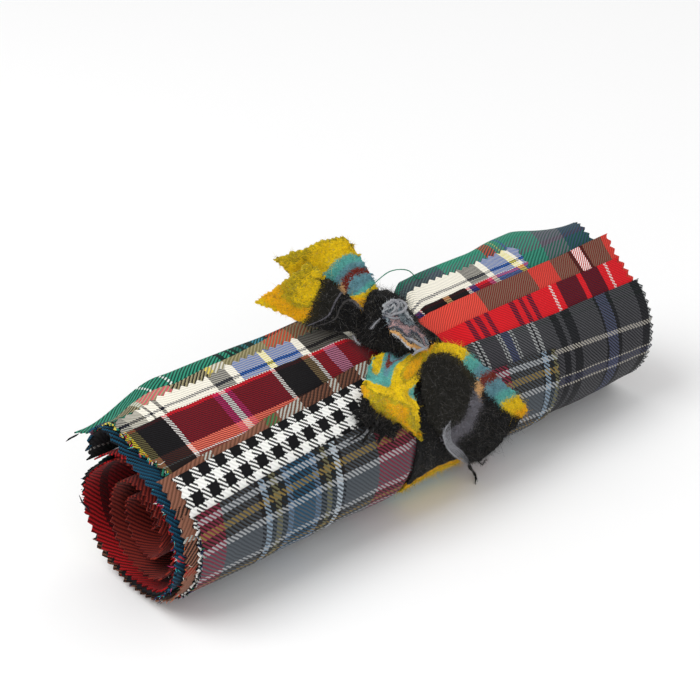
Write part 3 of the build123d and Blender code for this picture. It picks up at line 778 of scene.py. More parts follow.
def fibres(name, roots, dirs, lengths, uvs, mat, width=0.12, curl=0.6, droop=0.2, seed=3, seg=2):
    """Fine closed three-sided fibres that curl away from their roots (metres, lengths in mm)."""
    g = np.random.default_rng(seed)
    n = len(roots)
    d = dirs / np.maximum(np.linalg.norm(dirs, axis=1, keepdims=True), 1e-9)
    bend = g.normal(size=(n, 3)) * curl
    bend[:, 2] -= droop
    pts, cur = [roots], d.copy()
    for s in range(seg):
        cur = cur + bend / seg + g.normal(size=(n, 3)) * 0.15
        cur /= np.linalg.norm(cur, axis=1, keepdims=True)
        pts.append(pts[-1] + cur * (lengths / seg)[:, None] * MM)
    s1 = np.cross(d, g.normal(size=(n, 3)))
    s1 /= np.maximum(np.linalg.norm(s1, axis=1, keepdims=True), 1e-9)
    s2 = np.cross(d, s1)
    w = width * MM / 2
    V = []
    for s, p in enumerate(pts):
        k = w * (1 - 0.75 * s / seg)
        for a in (0.0, 2.094, 4.189):
            V.append(p + (s1 * math.cos(a) + s2 * math.sin(a)) * k)
    V = np.stack(V, 1)
    V[..., 2] = np.maximum(V[..., 2], 0.0001)
    m = V.shape[1]
    base = (np.arange(n) * m)[:, None]
    Q = []
    for s in range(seg):
        for a in range(3):
            b = (a + 1) % 3
            Q.append(base + np.array([[3 * s + a, 3 * s + b, 3 * s + 3 + b, 3 * s + 3 + a]]))
    T = [base + np.array([[2, 1, 0]]), base + np.array([[3 * seg, 3 * seg + 1, 3 * seg + 2]])]
    U = np.repeat(uvs[:, None, :], m, 1).reshape(-1, 2)
    return mixed_object(name, V.reshape(-1, 3), np.concatenate(Q), np.concatenate(T), U, mat)


FUZZ = []          # roots, directions, lengths and colours of the nap, gathered piece by piece


def nap(P, N, UV, per_mm2, length, seed, lean=0.9):
    """Scatter fibre roots over a grid of surface points in metres."""
    g = np.random.default_rng(seed)
    e1, e2 = np.diff(P, axis=0)[:, :-1], np.diff(P, axis=1)[:-1, :]
    a = np.linalg.norm(np.cross(e1, e2), axis=-1) * 1e6
    n = int(a.sum() * per_mm2)
    pick = g.choice(a.size, n, p=(a / a.sum()).ravel())
    j, i = np.unravel_index(pick, a.shape)
    f, h = g.uniform(size=(n, 1)), g.uniform(size=(n, 1))
    p = P[j, i] * (1 - f) * (1 - h) + P[j + 1, i] * f * (1 - h) + P[j, i + 1] * (1 - f) * h + P[j + 1, i + 1] * f * h
    d = N[j, i] + g.normal(size=(n, 3)) * lean
    d += N[j, i] * np.maximum(0.25 - (d * N[j, i]).sum(1, keepdims=True), 0)
    L = length * np.exp(g.normal(size=n) * 0.45)
    FUZZ.append((p - N[j, i] * 0.0001, d, L, UV[j, i]))


def wool(name, lift=1.0, rough=1.0):
    """Brushed wool: a bright border, a pale cross stripe and a black ground, all felted together."""
    g = Graph(name)
    uvn = g.nt.nodes.new("ShaderNodeUVMap")
    uvn.uv_map = "thread"
    sep = g.nt.nodes.new("ShaderNodeSeparateXYZ")
    g.link(uvn.outputs[0], sep.inputs[0])
    tc = g.nt.nodes.new("ShaderNodeTexCoord")
    obj = tc.outputs["Object"]
    fine = g.noise(obj, 1500.0, 2.0, 0.6)
    mid = g.noise(obj, 420.0, 3.0, 0.6)
    big = g.noise(obj, 130.0, 2.0, 0.5)
    u = g.math("MULTIPLY", sep.outputs[0], 100.0)
    v = g.math("MULTIPLY", sep.outputs[1], 100.0)
    streak = g.nt.nodes.new("ShaderNodeMapping")
    streak.inputs["Scale"].default_value = (700.0, 700.0, 2600.0)
    streak.inputs["Rotation"].default_value = (0.5, 0.6, 0.3)
    g.link(obj, streak.inputs["Vector"])
    hair = g.noise(streak.outputs[0], 1.0, 3.0, 0.7)
    shift = g.math("ADD", g.math("MULTIPLY", g.math("SUBTRACT", mid, 0.5), 3.2), g.math("MULTIPLY", g.math("SUBTRACT", fine, 0.5), 4.0))
    shift = g.math("ADD", shift, g.math("MULTIPLY", g.math("SUBTRACT", hair, 0.5), 7.0))
    shift2 = g.math("ADD", g.math("MULTIPLY", g.math("SUBTRACT", big, 0.5), 3.0), g.math("MULTIPLY", g.math("SUBTRACT", fine, 0.5), 5.0))
    shift2 = g.math("ADD", shift2, g.math("MULTIPLY", g.math("SUBTRACT", hair, 0.5), 6.0))
    u1 = g.math("ADD", u, shift)
    v1 = g.math("ADD", v, shift2)
    border, _ = g.stripes(u1, -30.0, 160.0, TIE_BORDER)
    second, _ = g.stripes(u1, -30.0, 160.0, TIE_SECOND)
    ground, _ = g.stripes(u1, -30.0, 160.0, TIE_GROUND)
    col = g.mix(g.math("GREATER_THAN", v1, 9.0), border, second)
    col = g.mix(g.math("GREATER_THAN", v1, 12.5), col, ground)
    # single fibres of another colour, and lighter and darker tufts
    stray = g.noise(obj, 900.0, 4.0, 0.75)
    col = g.mix(g.math("MULTIPLY", g.math("GREATER_THAN", stray, 0.57), 0.36), col, lin((52, 47, 34)))
    pale = g.noise(obj, 760.0, 4.0, 0.8)
    col = g.mix(g.math("MULTIPLY", g.math("GREATER_THAN", pale, 0.62), 0.30), col, lin((150, 148, 146)))
    # faint diagonal twill ribs live only in the colour: the darker valleys between them are painted shade
    twill = g.math("ABSOLUTE", g.math("SINE", g.math("MULTIPLY", g.math("ADD", u1, v1), math.pi / 1.9)))
    lit = g.math("ADD", 0.20, g.math("MULTIPLY", hair, 1.10))
    lit = g.math("ADD", lit, g.math("MULTIPLY", twill, 0.26))
    lit = g.math("MULTIPLY", lit, g.math("ADD", 0.70, g.math("MULTIPLY", mid, 0.60)))
    # lift scales the whole colour; above 1 it makes a lighter copy of the wool, a painted highlight
    lit = g.math("MULTIPLY", lit, lift)
    n = g.nt.nodes.new("ShaderNodeCombineXYZ")
    for i in range(3):
        g.link(lit, n.inputs[i])
    col = g.mix(1.0, col, n.outputs[0], "MULTIPLY")
    b = g.nt.nodes.new("ShaderNodeBsdfPrincipled")
    g.link(col, b.inputs["Base Color"])
    b.inputs["Roughness"].default_value = 0.95
    b.inputs["Specular IOR Level"].default_value = 0.08
    b.inputs["Sheen Weight"].default_value = 0.06
    b.inputs["Sheen Roughness"].default_value = 0.6
    bump = g.nt.nodes.new("ShaderNodeBump")
    bump.inputs["Strength"].default_value = 0.9 * rough
    bump.inputs["Distance"].default_value = 0.0006
    g.link(g.math("ADD", hair, g.math("MULTIPLY", mid, 0.8)), bump.inputs["Height"])
    g.link(bump.outputs[0], b.inputs["Normal"])
    g.link(b.outputs[0], g.out.inputs[0])
    return g.mat


YEL, YEO, YOL = (236, 200, 20), (238, 178, 14), (186, 164, 26)
TEA, TEB, RBR = (96, 178, 170), (104, 152, 164), (120, 42, 32)
WOOLK, GRW = (10, 10, 12), (112, 110, 114)
TIE_BORDER = [(-30, YEL), (-20, YEO), (-14.5, YOL), (-12.5, YEL), (0, TEA), (6, TEB), (10, RBR), (13.5, TEB), (19, TEA), (23.5, YEL), (30, YEO),
              (38, GRW), (44, WOOLK), (70, (186, 190, 194)), (72.5, (44, 50, 62)), (74, (146, 160, 166)), (76, (56, 60, 72)), (77.5, (196, 160, 158)), (79, (84, 92, 104)), (80.5, (36, 38, 44)), (82, (150, 150, 150)),
              (83.5, (44, 46, 54)), (85, (236, 184, 116)), (89, (200, 204, 208)), (92, WOOLK), (96, (104, 102, 100)), (100, (62, 57, 48)), (106, (156, 157, 162)), (122, (176, 178, 182)), (136, WOOLK)]
TIE_SECOND = [(-30, (44, 40, 26)), (9.5, (226, 178, 120)), (14.5, WOOLK), (38, (90, 88, 90)), (44, WOOLK)]
TIE_GROUND = [(-30, WOOLK), (-14, (31, 30, 26)), (9.5, (66, 64, 68)), (10.5, (112, 110, 118)), (15.5, (48, 46, 48)), (17, WOOLK), (38, (70, 68, 68)), (44, WOOLK)]
m_wool = wool("brushed_wool")
# the nap fibres get a copy of the wool a quarter lighter: painted highlight on the loose hairs
m_nap_highlit = wool("brushed_wool_nap_painted_highlight", 1.25, 0.3)


def mm_place(C):
    C = np.asarray(C, float)
    return place(C[..., 0], C[..., 1], C[..., 2])


def ragged(P, seed, amount=0.5):
    """Torn edges: the outermost rows and columns wander."""
    g = np.random.default_rng(seed)
    nj, ni = P.shape[:2]
    ej, ei = np.gradient(P, axis=0), np.gradient(P, axis=1)
    ej /= np.linalg.norm(ej, axis=-1, keepdims=True)
    ei /= np.linalg.norm(ei, axis=-1, keepdims=True)
    k = np.exp(-np.arange(nj) / 1.3)[:, None, None] * g.normal(size=(1, ni, 1))
    k2 = np.exp(-np.arange(nj)[::-1] / 1.3)[:, None, None] * g.normal(size=(1, ni, 1))
    k3 = np.exp(-np.arange(ni) / 1.3)[None, :, None] * g.normal(size=(nj, 1, 1))
    k4 = np.exp(-np.arange(ni)[::-1] / 1.3)[None, :, None] * g.normal(size=(nj, 1, 1))
    return P + ej * (k + k2) * amount + ei * (k3 + k4) * amount


def wool_patch(name, ctrl, uvc, nj, ni, thick, held, seed, dense=2.2, length=2.0, bumpy=0.35, rag=0.45, rag_on=True):
    P = patch(ctrl, nj, ni)
    UV = patch(uvc, nj, ni) / 100.0
    if rag_on:
        P = ragged(P, seed, rag)
    P = P + normals_of(P) * (waves(P, seed, 11.0, bumpy) + waves(P, seed + 1, 4.0, bumpy * 0.4))[..., None]
    W = mm_place(P)
    ob = shell(name, W, UV, m_wool, thick)
    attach(ob, "root")
    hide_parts("tie_strip")
    N = normals_of(W)
    nap(W, N, UV, dense, length, seed + 7)
    if held == "hung":                     # the back of a free tail is brushed too
        nap(W - N * thick * MM, -N, UV, dense * 0.45, length, seed + 8)
    return W, UV


STAND = [
    [(-44.1, 28.1, 88.9), (-30.4, 23.7, 91.9), (-18.0, 20.1, 94.4), (-9.9, 17.5, 94.6), (-7.4, 15.5, 91.6), (-6.5, 14.5, 89.6)],
    [(-40.9, 26.2, 85.5), (-29.2, 21.9, 85.8), (-18.4, 18.1, 86.2), (-9.8, 14.8, 86.0), (-5.4, 12.5, 84.3), (-3.2, 10.9, 82.3)],
    [(-38.2, 23.7, 82.0), (-28.3, 18.9, 78.2), (-18.1, 14.3, 76.0), (-10.1, 11.1, 75.9), (-4.5, 8.6, 75.7), (-0.7, 6.3, 74.1)],
    [(-38.1, 21.5, 77.4), (-28.7, 16.0, 71.6), (-19.9, 11.5, 68.0), (-12.2, 8.0, 68.1), (-6.4, 5.5, 69.0), (-0.8, 3.3, 69.8)],
    [(-30.7, 17.6, 87.6), (-26.8, 14.5, 80.8), (-20.9, 10.2, 73.8), (-16.2, 5.9, 67.2), (-11.9, 2.5, 63.5), (-6.8, -0.7, 60.6)],
    [(-40.9, 18.8, 83.1), (-33.0, 14.3, 76.2), (-26.0, 9.4, 69.2), (-19.7, 4.3, 63.0), (-14.6, 1.1, 60.1), (-9.2, -1.7, 58.1)],
    [(-52.0, 20.5, 78.3), (-40.9, 14.9, 70.7), (-31.8, 9.2, 63.9), (-23.9, 3.6, 58.5), (-17.4, 0.3, 56.4), (-12.3, -2.0, 55.0)],
    [(-61.1, 22.1, 74.0), (-51.3, 17.5, 67.8), (-41.2, 11.5, 60.7), (-34.1, 6.6, 57.2), (-25.5, 1.7, 54.4), (-18.7, -1.1, 53.2)],
]
HANG = [
    [(13.5, -20.3, 40.1), (20.0, -18.4, 40.3), (31.1, -23.3, 36.7), (36.4, -31.4, 29.4), (46.7, -39.9, 17.1), (54.5, -43.2, 6.2), (61.0, -44.4, -3.7)],
    [(7.3, -23.9, 39.2), (15.9, -22.9, 38.8), (23.8, -28.1, 34.0), (28.5, -34.7, 26.8), (36.5, -41.2, 15.0), (45.1, -44.2, 3.6), (57.1, -44.3, -7.3)],
    [(1.5, -28.2, 36.0), (6.6, -31.0, 33.7), (13.2, -34.4, 28.6), (19.0, -38.7, 21.6), (27.6, -43.5, 9.6), (37.9, -44.7, -2.5), (48.0, -44.0, -11.8)],
    [(-2.8, -33.0, 30.1), (0.7, -35.5, 28.2), (5.1, -39.1, 23.3), (11.2, -42.0, 15.5), (19.5, -45.0, 3.6), (31.5, -44.3, -10.3), (41.4, -41.7, -19.6)],
    [(-4.7, -37.2, 23.0), (-2.7, -39.3, 19.9), (-0.2, -41.8, 16.0), (4.6, -44.1, 9.3), (11.7, -45.1, -0.7), (21.6, -44.3, -12.0), (33.3, -39.9, -23.9)],
    [(-5.5, -40.3, 16.6), (-3.8, -41.6, 13.2), (-2.4, -43.3, 10.1), (0.2, -45.8, 5.3), (4.2, -46.9, -1.7), (12.4, -45.7, -10.8), (21.9, -42.2, -20.4)],
]
FOLD = [
    [(-17.4, -12.5, 43.5), (-12.8, -13.3, 43.8), (-7.0, -14.0, 43.6), (-0.5, -15.7, 43.1), (6.3, -16.9, 42.8)],
    [(-22.7, -17.1, 41.4), (-17.4, -16.9, 40.9), (-13.7, -19.4, 40.1), (-7.9, -20.9, 40.8), (9.4, -20.1, 42.5)],
    [(-27.6, -20.3, 39.6), (-23.5, -22.3, 38.9), (-19.7, -26.7, 37.8), (-9.2, -26.7, 40.0), (10.3, -23.5, 41.3)],
    [(-30.1, -21.7, 39.0), (-26.1, -25.2, 37.3), (-20.3, -28.9, 35.4), (-10.8, -29.9, 35.3), (3.4, -27.5, 36.1)],
    [(-33.6, -24.9, 37.9), (-29.9, -29.5, 36.3), (-24.0, -33.0, 33.9), (-16.1, -33.6, 33.4), (-9.1, -34.0, 30.3)],
    [(-36.1, -29.2, 34.7), (-32.3, -34.3, 31.7), (-26.8, -37.5, 29.3), (-18.6, -38.6, 27.6), (-11.0, -39.1, 23.1)],
    [(-31.3, -36.1, 25.9), (-27.6, -38.5, 24.4), (-22.9, -40.6, 22.4), (-17.9, -41.6, 19.2), (-12.1, -41.8, 15.1)],
    [(-17.0, -41.4, 14.7), (-15.7, -42.2, 13.4), (-14.1, -42.7, 11.8), (-13.2, -43.1, 10.5), (-11.6, -42.8, 8.0)],
]
FRAY = [
    [(-35.7, -28.8, 33.8), (-33.2, -33.2, 29.3), (-29.0, -37.2, 24.4), (-20.7, -39.6, 19.3)],
    [(-41.3, -29.2, 32.8), (-38.2, -34.5, 27.9), (-32.9, -38.7, 22.2), (-23.6, -40.6, 17.0)],
    [(-45.8, -30.7, 30.9), (-43.0, -35.5, 25.3), (-37.5, -39.4, 19.3), (-27.1, -41.0, 14.6)],
    [(-49.4, -32.6, 27.6), (-47.8, -36.6, 22.7), (-42.0, -39.4, 17.2), (-32.1, -40.8, 13.2)],
]
SIDE = [
    [(-6.5, -8.2, 66.7), (-2.6, -9.6, 69.3), (2.6, -11.2, 67.1), (6.7, -11.8, 63.1)],
    [(-9.3, -11.3, 63.5), (-5.3, -14.1, 65.5), (0.9, -16.0, 63.0), (7.0, -16.7, 57.2)],
    [(-10.1, -15.1, 59.9), (-5.5, -18.0, 61.2), (0.6, -20.0, 58.7), (7.5, -20.5, 53.0)],
    [(-9.1, -19.2, 55.7), (-4.3, -21.8, 56.8), (1.1, -23.1, 54.2), (7.9, -23.8, 49.2)],
    [(-7.0, -24.1, 50.9), (-3.6, -25.4, 52.0), (1.1, -26.1, 50.5), (6.5, -26.0, 46.8)],
    [(-4.6, -26.6, 47.3), (-2.0, -27.4, 48.3), (1.8, -27.5, 47.5), (6.4, -26.9, 45.5)],
]

STAND_UV = [
    [(-13, 3), (-13, 3), (-13, 3), (-13, 3), (-13, 3), (-13, 3)],
    [(-12, 5), (-11, 5), (-4, 5), (1, 5), (3, 5), (5, 5)],
    [(-12, 6), (-3, 7), (6, 8), (13, 5), (15, 5), (16, 5)],
    [(-12, 6), (0, 18), (8, 18), (19, 6), (23, 5), (27, 5)],
    [(-13, 3), (-12, 7), (-5, 16), (40, 12), (40, 6), (30, 6)],
    [(-13, 3), (-11, 5), (-6, 18), (60, 22), (60, 22), (41, 8)],
    [(-16, 3), (-12, 5), (-9, 13), (60, 22), (60, 22), (42, 14)],
    [(-22, 3), (-20, 4), (-10, 9.5), (60, 22), (60, 22), (44, 22)]]
HANG_UV = [
    [(-20, 3), (-14, 3), (-4, 4), (5, 4), (16, 4), (26, 4), (33, 4)],
    [(-16, 8), (-11, 9), (-3, 10), (6, 9.5), (18, 8), (27, 8.5), (33, 9)],
    [(-12, 20), (-9, 20), (-2, 20), (5, 20), (17, 16), (26, 20), (33, 20)],
    [(-12, 26), (-9, 26), (-2, 26), (5, 26), (15.5, 26), (26, 26), (33, 26)],
    [(-12, 32), (-9, 32), (-2, 32), (9, 32), (17, 32), (26, 32), (33, 32)],
    [(-12, 38), (-9, 38), (-2, 38), (11, 38), (13, 38), (20, 38), (33, 38)]]
FOLD_UV = [
    [(0, 4), (-4, 4), (11, 4), (48, 20), (48, 20)],
    [(3, 4), (-6, 4), (11, 4), (4, 4), (-12, 5)],
    [(4, 4), (3, 4), (4, 4), (-14, 4), (-14, 4)],
    [(-10, 5), (2, 6), (0, 5), (-14, 7), (-10, 11)],
    [(-16, 4), (-12, 4), (-12, 4), (-3, 6), (4, 6)],
    [(-14, 6), (-13, 4), (-15, 4), (-14.5, 4), (-6, 7)],
    [(-14, 9), (-14, 6), (-15, 4), (-13, 4), (-13, 5)],
    [(-13, 4), (-13, 4), (-16, 4), (-13, 4), (-13, 4)]]
FRAY_UV = [[(60 + 4 * i + j, 24 + 3 * j) for i in range(4)] for j in range(4)]
SIDE_UV = [
    [(71, 4), (71, 4), (72, 4), (60, 20)],
    [(73, 4), (76, 4), (73, 4), (60, 20)],
    [(76, 4), (79, 4), (76, 4), (82, 4)],
    [(92, 4), (79, 4), (82, 4), (74, 4)],
    [(94, 4), (84, 4), (86, 4), (74, 4)],
    [(94, 4), (92, 4), (88, 4), (90, 4)]]

# the band: it follows the widest outline of the samples under it
HELD = []
for nm in ("muted_tartan_sample", "charcoal_tartan_sample", "houndstooth_sample", "brown_tartan_sample", "bright_red_tartan_sample",
           "salmon_tartan_sample", "dress_tartan_sample", "green_orange_tartan_sample", "green_navy_tartan_sample"):
    q = EDGES[nm][0].reshape(-1, 3) / MM
    x = q[:, 0] - XO
    k = 1 - 0.030 * x / 150
    y = (q[:, 1] - YO) / k
    z = -38.9 + ((q[:, 2] - ZC) + 38.9) / k
    keep = (x > -22) & (x < 40)
    HELD.append(np.stack([x, y, z], 1)[keep])
HELD = np.concatenate(HELD)
phi = np.radians(np.arange(0, 360, 3.0))
dirs2 = np.stack([-np.cos(phi), np.sin(phi)], 1)
xs_b = np.linspace(-18, 34, 14)
support = np.stack([(HELD[np.abs(HELD[:, 0] - xc) < 3.0][:, 1:] @ dirs2.T).max(0) for xc in xs_b])


def band_radius(theta, x):
    """Radius of the stretched outline at angle theta (radians) and place x (mm)."""
    h = np.stack([np.interp(x, xs_b, support[:, k]) for k in range(len(phi))], -1)
    c = np.cos(theta[..., None] - phi)
    return np.where(c > 0.15, h / np.maximum(c, 0.15), 1e9).min(-1)


th = np.radians(np.linspace(235, -125, 331)[:-1])
xb = np.linspace(-14.0, 30.0, 60)
XB, TH = np.meshgrid(xb, th)
dg = np.degrees(TH)
near_edge = 1.2 * np.sin(TH * 5 + 0.4) + 0.5 * np.sin(TH * 13)
far_edge = 1.0 * np.sin(TH * 4 + 2.0) + 0.5 * np.sin(TH * 11 + 1)
fb_ = (XB + 14) / 44
XB = XB + near_edge * (1 - fb_) ** 2 + far_edge * fb_ ** 2
pinch = np.exp(-((dg - 100) / 48) ** 2)
XB = XB + (4.0 - XB) * 0.36 * pinch
RB = band_radius(TH, XB) + 1.75
folds = np.abs(np.sin(XB * 0.42 + 0.6 * np.sin(TH * 3) + 0.8)) ** 1.5
RB = RB + pinch * 1.8 * folds + 0.35 * folds * (1 - pinch) + 0.25 * np.sin(XB * 0.23 + TH * 7)
edge = np.minimum(fb_, 1 - fb_) * 44
RB = RB - 0.7 * np.clip(1 - edge / 1.2, 0, 1)
PB = mm_place(np.stack([XB, -RB * np.cos(TH), RB * np.sin(TH)], -1))
low = PB[..., 2] < 0.00012
PB[..., 2] = np.maximum(PB[..., 2], 0.00012)
arc = (np.radians(-28) - TH) * 42.0                       # mm past the front of the yellow cross stripe
UB = np.where(arc > 0, np.minimum(arc, 70) - 19.0, -19.0 + 0 * arc)
VB = 26.0 - 22.0 * ease((arc + 1.2) / 2.4)
UB = np.where(arc > 0, UB, 50 + XB * 0.2)
VB = np.where(arc > 75, 26.0, VB)
UVB = np.stack([UB, VB], -1) / 100.0
band = shell("tie_band", PB, UVB, m_wool, 1.4, wrap=True)
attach(band, "root")
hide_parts("tie_strip")
NB = np.cross(np.roll(PB, -1, 0) - np.roll(PB, 1, 0), np.gradient(PB, axis=1))
NB /= np.maximum(np.linalg.norm(NB, axis=-1, keepdims=True), 1e-9)
clear = PB[..., 2].min(1) > 0.0025
run = np.where(clear)[0]
brk = np.where(np.diff(run) > 1)[0]
for part in np.split(run, brk + 1):
    if len(part) > 3:
        nap(PB[part], NB[part], UVB[part], 1.3, 1.7, 40 + len(part))

wool_patch("tie_standing_tail", STAND, STAND_UV, 120, 76, 1.7, "hung", 11, dense=2.4, length=1.9)
wool_patch("tie_hanging_tail", HANG, HANG_UV, 66, 84, 1.7, "draped", 12, dense=2.6, length=2.3)
wool_patch("tie_near_fold", FOLD, FOLD_UV, 78, 60, 1.5, "gathered", 13, dense=2.2, length=1.6, bumpy=0.7)
FRAY = [[(np.array(FRAY[0][i]) * (1 - 0.62 * f) + np.array(FRAY[3][i]) * 0.62 * f).tolist() for i in range(4)] for f in (0, 0.33, 0.66, 1.0)]
wool_patch("tie_frayed_edge", FRAY, FRAY_UV, 34, 40, 1.2, "draped", 14, dense=5.0, length=3.6, rag=1.2)
wool_patch("tie_knot_wrap", SIDE, SIDE_UV, 44, 36, 1.6, "folded", 15, dense=3.0, length=1.6, bumpy=0.8)

# the knot: a tight lump, in a frame that leans with the two tails
KR, KU, KB = np.array([0.753, -0.658, 0.0]), np.array([0.335, 0.383, 0.860]), np.array([-0.566, -0.648, 0.509])
KC = np.array([-0.6, -3.2, 52.6])
turn = np.radians([-171, -139, -113, -77, -45, -20, 29, 78, 105, 137, 168])
reach_k = np.array([15.0, 15.5, 15.2, 16.8, 19.5, 18.5, 13.0, 14.5, 18.6, 14.6, 13.6])


def round_cube(n):
    """Points of a cube blown up to a sphere, with shared edges."""
    bm = bmesh.new()
    bmesh.ops.create_cube(bm, size=2.0)
    bmesh.ops.subdivide_edges(bm, edges=bm.edges[:], cuts=n, use_grid_fill=True)
    v = np.array([p.co[:] for p in bm.verts])
    bm.verts.index_update()
    f = np.array([[q.index for q in face.verts] for face in bm.faces])
    bm.free()
    return v / np.linalg.norm(v, axis=1, keepdims=True), f


kd, kf = round_cube(30)
psi = np.arctan2(kd[:, 1], kd[:, 0])
flat_r = np.interp(psi, np.concatenate([turn - 2 * np.pi, turn, turn + 2 * np.pi]), np.tile(reach_k, 3))
w1 = kd[:, 0] * 0.80 + kd[:, 1] * 0.60
w2 = -kd[:, 0] * 0.60 + kd[:, 1] * 0.80
crease = np.abs(np.sin(3.1 * w1 + 1.2 * np.sin(2.2 * w2) + 0.5)) ** 0.7 + 0.5 * np.abs(np.sin(4.6 * w2 + 2.0 * w1 + 1.0))
kk = 1 + 0.13 * (crease - 0.9)
KP = (KC + (kd[:, :1] * KR + kd[:, 1:2] * KU) * (flat_r * kk)[:, None] + kd[:, 2:3] * KB * (12.5 * kk)[:, None])
KP = KP + waves(KP, 5, 7.0, 0.5)[:, None] * (kd[:, :1] * KR + kd[:, 1:2] * KU + kd[:, 2:3] * KB)
KV = mm_place(KP)
KUV = np.stack([(52 + kd[:, 0] * 4) / 100, (26 + kd[:, 1] * 6) / 100], 1)
knot = make_object("tie_knot", KV, kf, KUV, m_wool)
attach(knot, "root")
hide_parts("tie_strip")
g = np.random.default_rng(77)
front = np.where(kd[:, 2] > -0.5)[0]
pick = g.choice(front, 5200)
kn = kd[pick, :1] * KR + kd[pick, 1:2] * KU + kd[pick, 2:3] * KB
FUZZ.append((KV[pick] + g.normal(size=(5200, 3)) * 0.0003 - kn * 0.0003, kn + g.normal(size=(5200, 3)) * 0.9, 2.4 * np.exp(g.normal(size=5200) * 0.5), KUV[pick]))



def yarn(points, radius, uv, seed=1, n=22):
    """A loose thread through points in mm: a thin closed tube, thinner at its ends."""
    c = mm_place(spline(points, n))
    t = np.gradient(c, axis=0)
    t /= np.linalg.norm(t, axis=1, keepdims=True)
    a = np.cross(t, [0.31, 0.42, 0.85])
    a /= np.linalg.norm(a, axis=1, keepdims=True)
    b = np.cross(t, a)
    rr = radius * MM * np.minimum(1, 0.25 + 3.0 * np.minimum(np.linspace(0, 1, n), np.linspace(1, 0, n)))
    ang = np.arange(6) * np.pi / 3
    V = c[:, None] + (a[:, None] * np.cos(ang)[None, :, None] + b[:, None] * np.sin(ang)[None, :, None]) * rr[:, None, None]
    k = np.arange(n * 6).reshape(n, 6)
    k2 = np.roll(k, -1, 1)
    q = np.stack([k[:-1], k2[:-1], k2[1:], k[1:]], -1).reshape(-1, 4)
    caps = np.array([[5, 4, 3, 2], [5, 2, 1, 0]] + [[(n - 1) * 6 + v for v in f] for f in ((0, 1, 2, 3), (0, 3, 4, 5))])
    YARNS.append((V.reshape(-1, 3), np.concatenate([q, caps]), np.tile(np.array(uv) / 100.0, (n * 6, 1))))
    FUZZ.append((np.repeat(c, 5, 0), np.random.default_rng(seed).normal(size=(n * 5, 3)), np.full(n * 5, 1.3), np.tile(np.array(uv) / 100.0, (n * 5, 1))))


YARNS = []
yarn([(-8.8, -11.3, 66.1), (-7.5, -12.5, 69.0), (-4.9, -13.7, 71.3), (-2.9, -15.5, 69.3), (-4.8, -15.9, 66.7), (-7.5, -15.8, 64.8), (-8.9, -13.2, 65.6)], 0.75, (115, 4))
yarn([(-9.0, -14.3, 64.0), (-6.5, -16.8, 65.6), (-2.4, -17.8, 65.9), (1.3, -16.4, 66.8), (1.3, -13.7, 68.4), (-1.9, -12.6, 70.1)], 0.70, (115, 4))
yarn([(-7.7, -14.1, 67.6), (-6.1, -15.5, 69.7), (-5.9, -16.2, 67.9), (-8.0, -15.3, 65.8)], 0.50, (124, 4))
yarn([(-9.5, -12.9, 64.3), (-7.5, -16.2, 63.3), (-4.4, -18.1, 63.3)], 0.60, (112, 4))
yarn([(-5.0, -23.0, 54.5), (-3.0, -25.8, 53.6), (-0.3, -28.3, 50.9), (2.5, -30.3, 48.6)], 0.80, (115, 4))
yarn([(-5.0, -28.1, 46.9), (-3.2, -29.6, 49.0), (0.2, -30.0, 49.3), (3.3, -29.8, 49.1)], 0.70, (115, 4))
yarn([(-15.6, -9.9, 57.5), (-13.7, -10.4, 59.8), (-10.9, -11.0, 62.2)], 0.35, (115, 4))
yarn([(-21.2, -3.4, 52.5), (-21.4, -5.5, 50.7), (-20.4, -7.1, 49.6)], 0.35, (115, 4))
yarn([(0.7, -45.1, 10.5), (-0.7, -46.7, 7.0), (1.4, -47.7, -0.1), (7.9, -47.3, -8.1), (19.4, -43.8, -18.5)], 0.38, (115, 4))
yarn([(6.0, -44.6, 12.3), (1.0, -45.8, 10.0), (0.7, -47.3, 4.2), (5.3, -47.8, -3.3)], 0.35, (110, 4))
yarn([(20.9, -43.3, -19.0), (24.4, -40.8, -24.4), (34.1, -33.2, -35.9), (33.8, -35.1, -37.4), (31.6, -37.2, -39.3)], 0.55, (58, 22))
yarn([(19.8, -43.4, -18.5), (23.8, -40.4, -24.7), (34.4, -33.4, -35.9), (33.8, -36.2, -38.6)], 0.50, (58, 22))
yarn([(1.3, -45.5, 9.7), (-0.5, -46.9, 6.1), (1.3, -48.0, 0.5), (7.3, -47.3, -7.0), (17.1, -44.6, -16.3)], 0.30, (112, 4))
yarn([(2.3, -45.4, 10.0), (0.3, -47.1, 5.9), (2.6, -47.8, 0.2), (8.0, -47.5, -6.4), (17.4, -44.7, -16.0)], 0.30, (114, 4))
yarn([(3.2, -45.3, 10.3), (1.5, -47.0, 5.4), (3.9, -47.7, -0.1), (9.0, -47.4, -6.2), (17.8, -44.8, -15.8)], 0.30, (116, 4))
yarn([(4.2, -45.2, 10.6), (2.6, -47.0, 4.9), (4.9, -47.9, -0.2), (9.7, -47.6, -5.6), (18.1, -44.9, -15.5)], 0.30, (118, 4))
yarn([(5.2, -45.0, 10.8), (3.5, -47.2, 4.6), (6.1, -47.7, -0.5), (10.7, -47.4, -5.3), (18.5, -45.0, -15.2)], 0.30, (120, 4))
yarn([(33.5, -44.4, -12.8), (30.1, -43.0, -18.8), (30.8, -40.4, -24.3)], 0.25, (62, 22))
yarn([(27.1, -42.6, -20.7), (37.7, -35.6, -31.0), (36.3, -39.4, -25.5)], 0.22, (62, 22))
yarn([(-22.0, -39.7, 20.6), (-28.6, -39.6, 20.2), (-31.5, -40.0, 15.7)], 0.80, (58, 22))
yarn([(-28.1, -39.2, 22.0), (-32.5, -39.3, 21.0), (-38.3, -37.2, 21.9)], 0.55, (58, 22))
yarn([(-34.5, -37.0, 25.2), (-43.5, -38.7, 22.0), (-47.1, -38.7, 18.2)], 0.80, (58, 22))
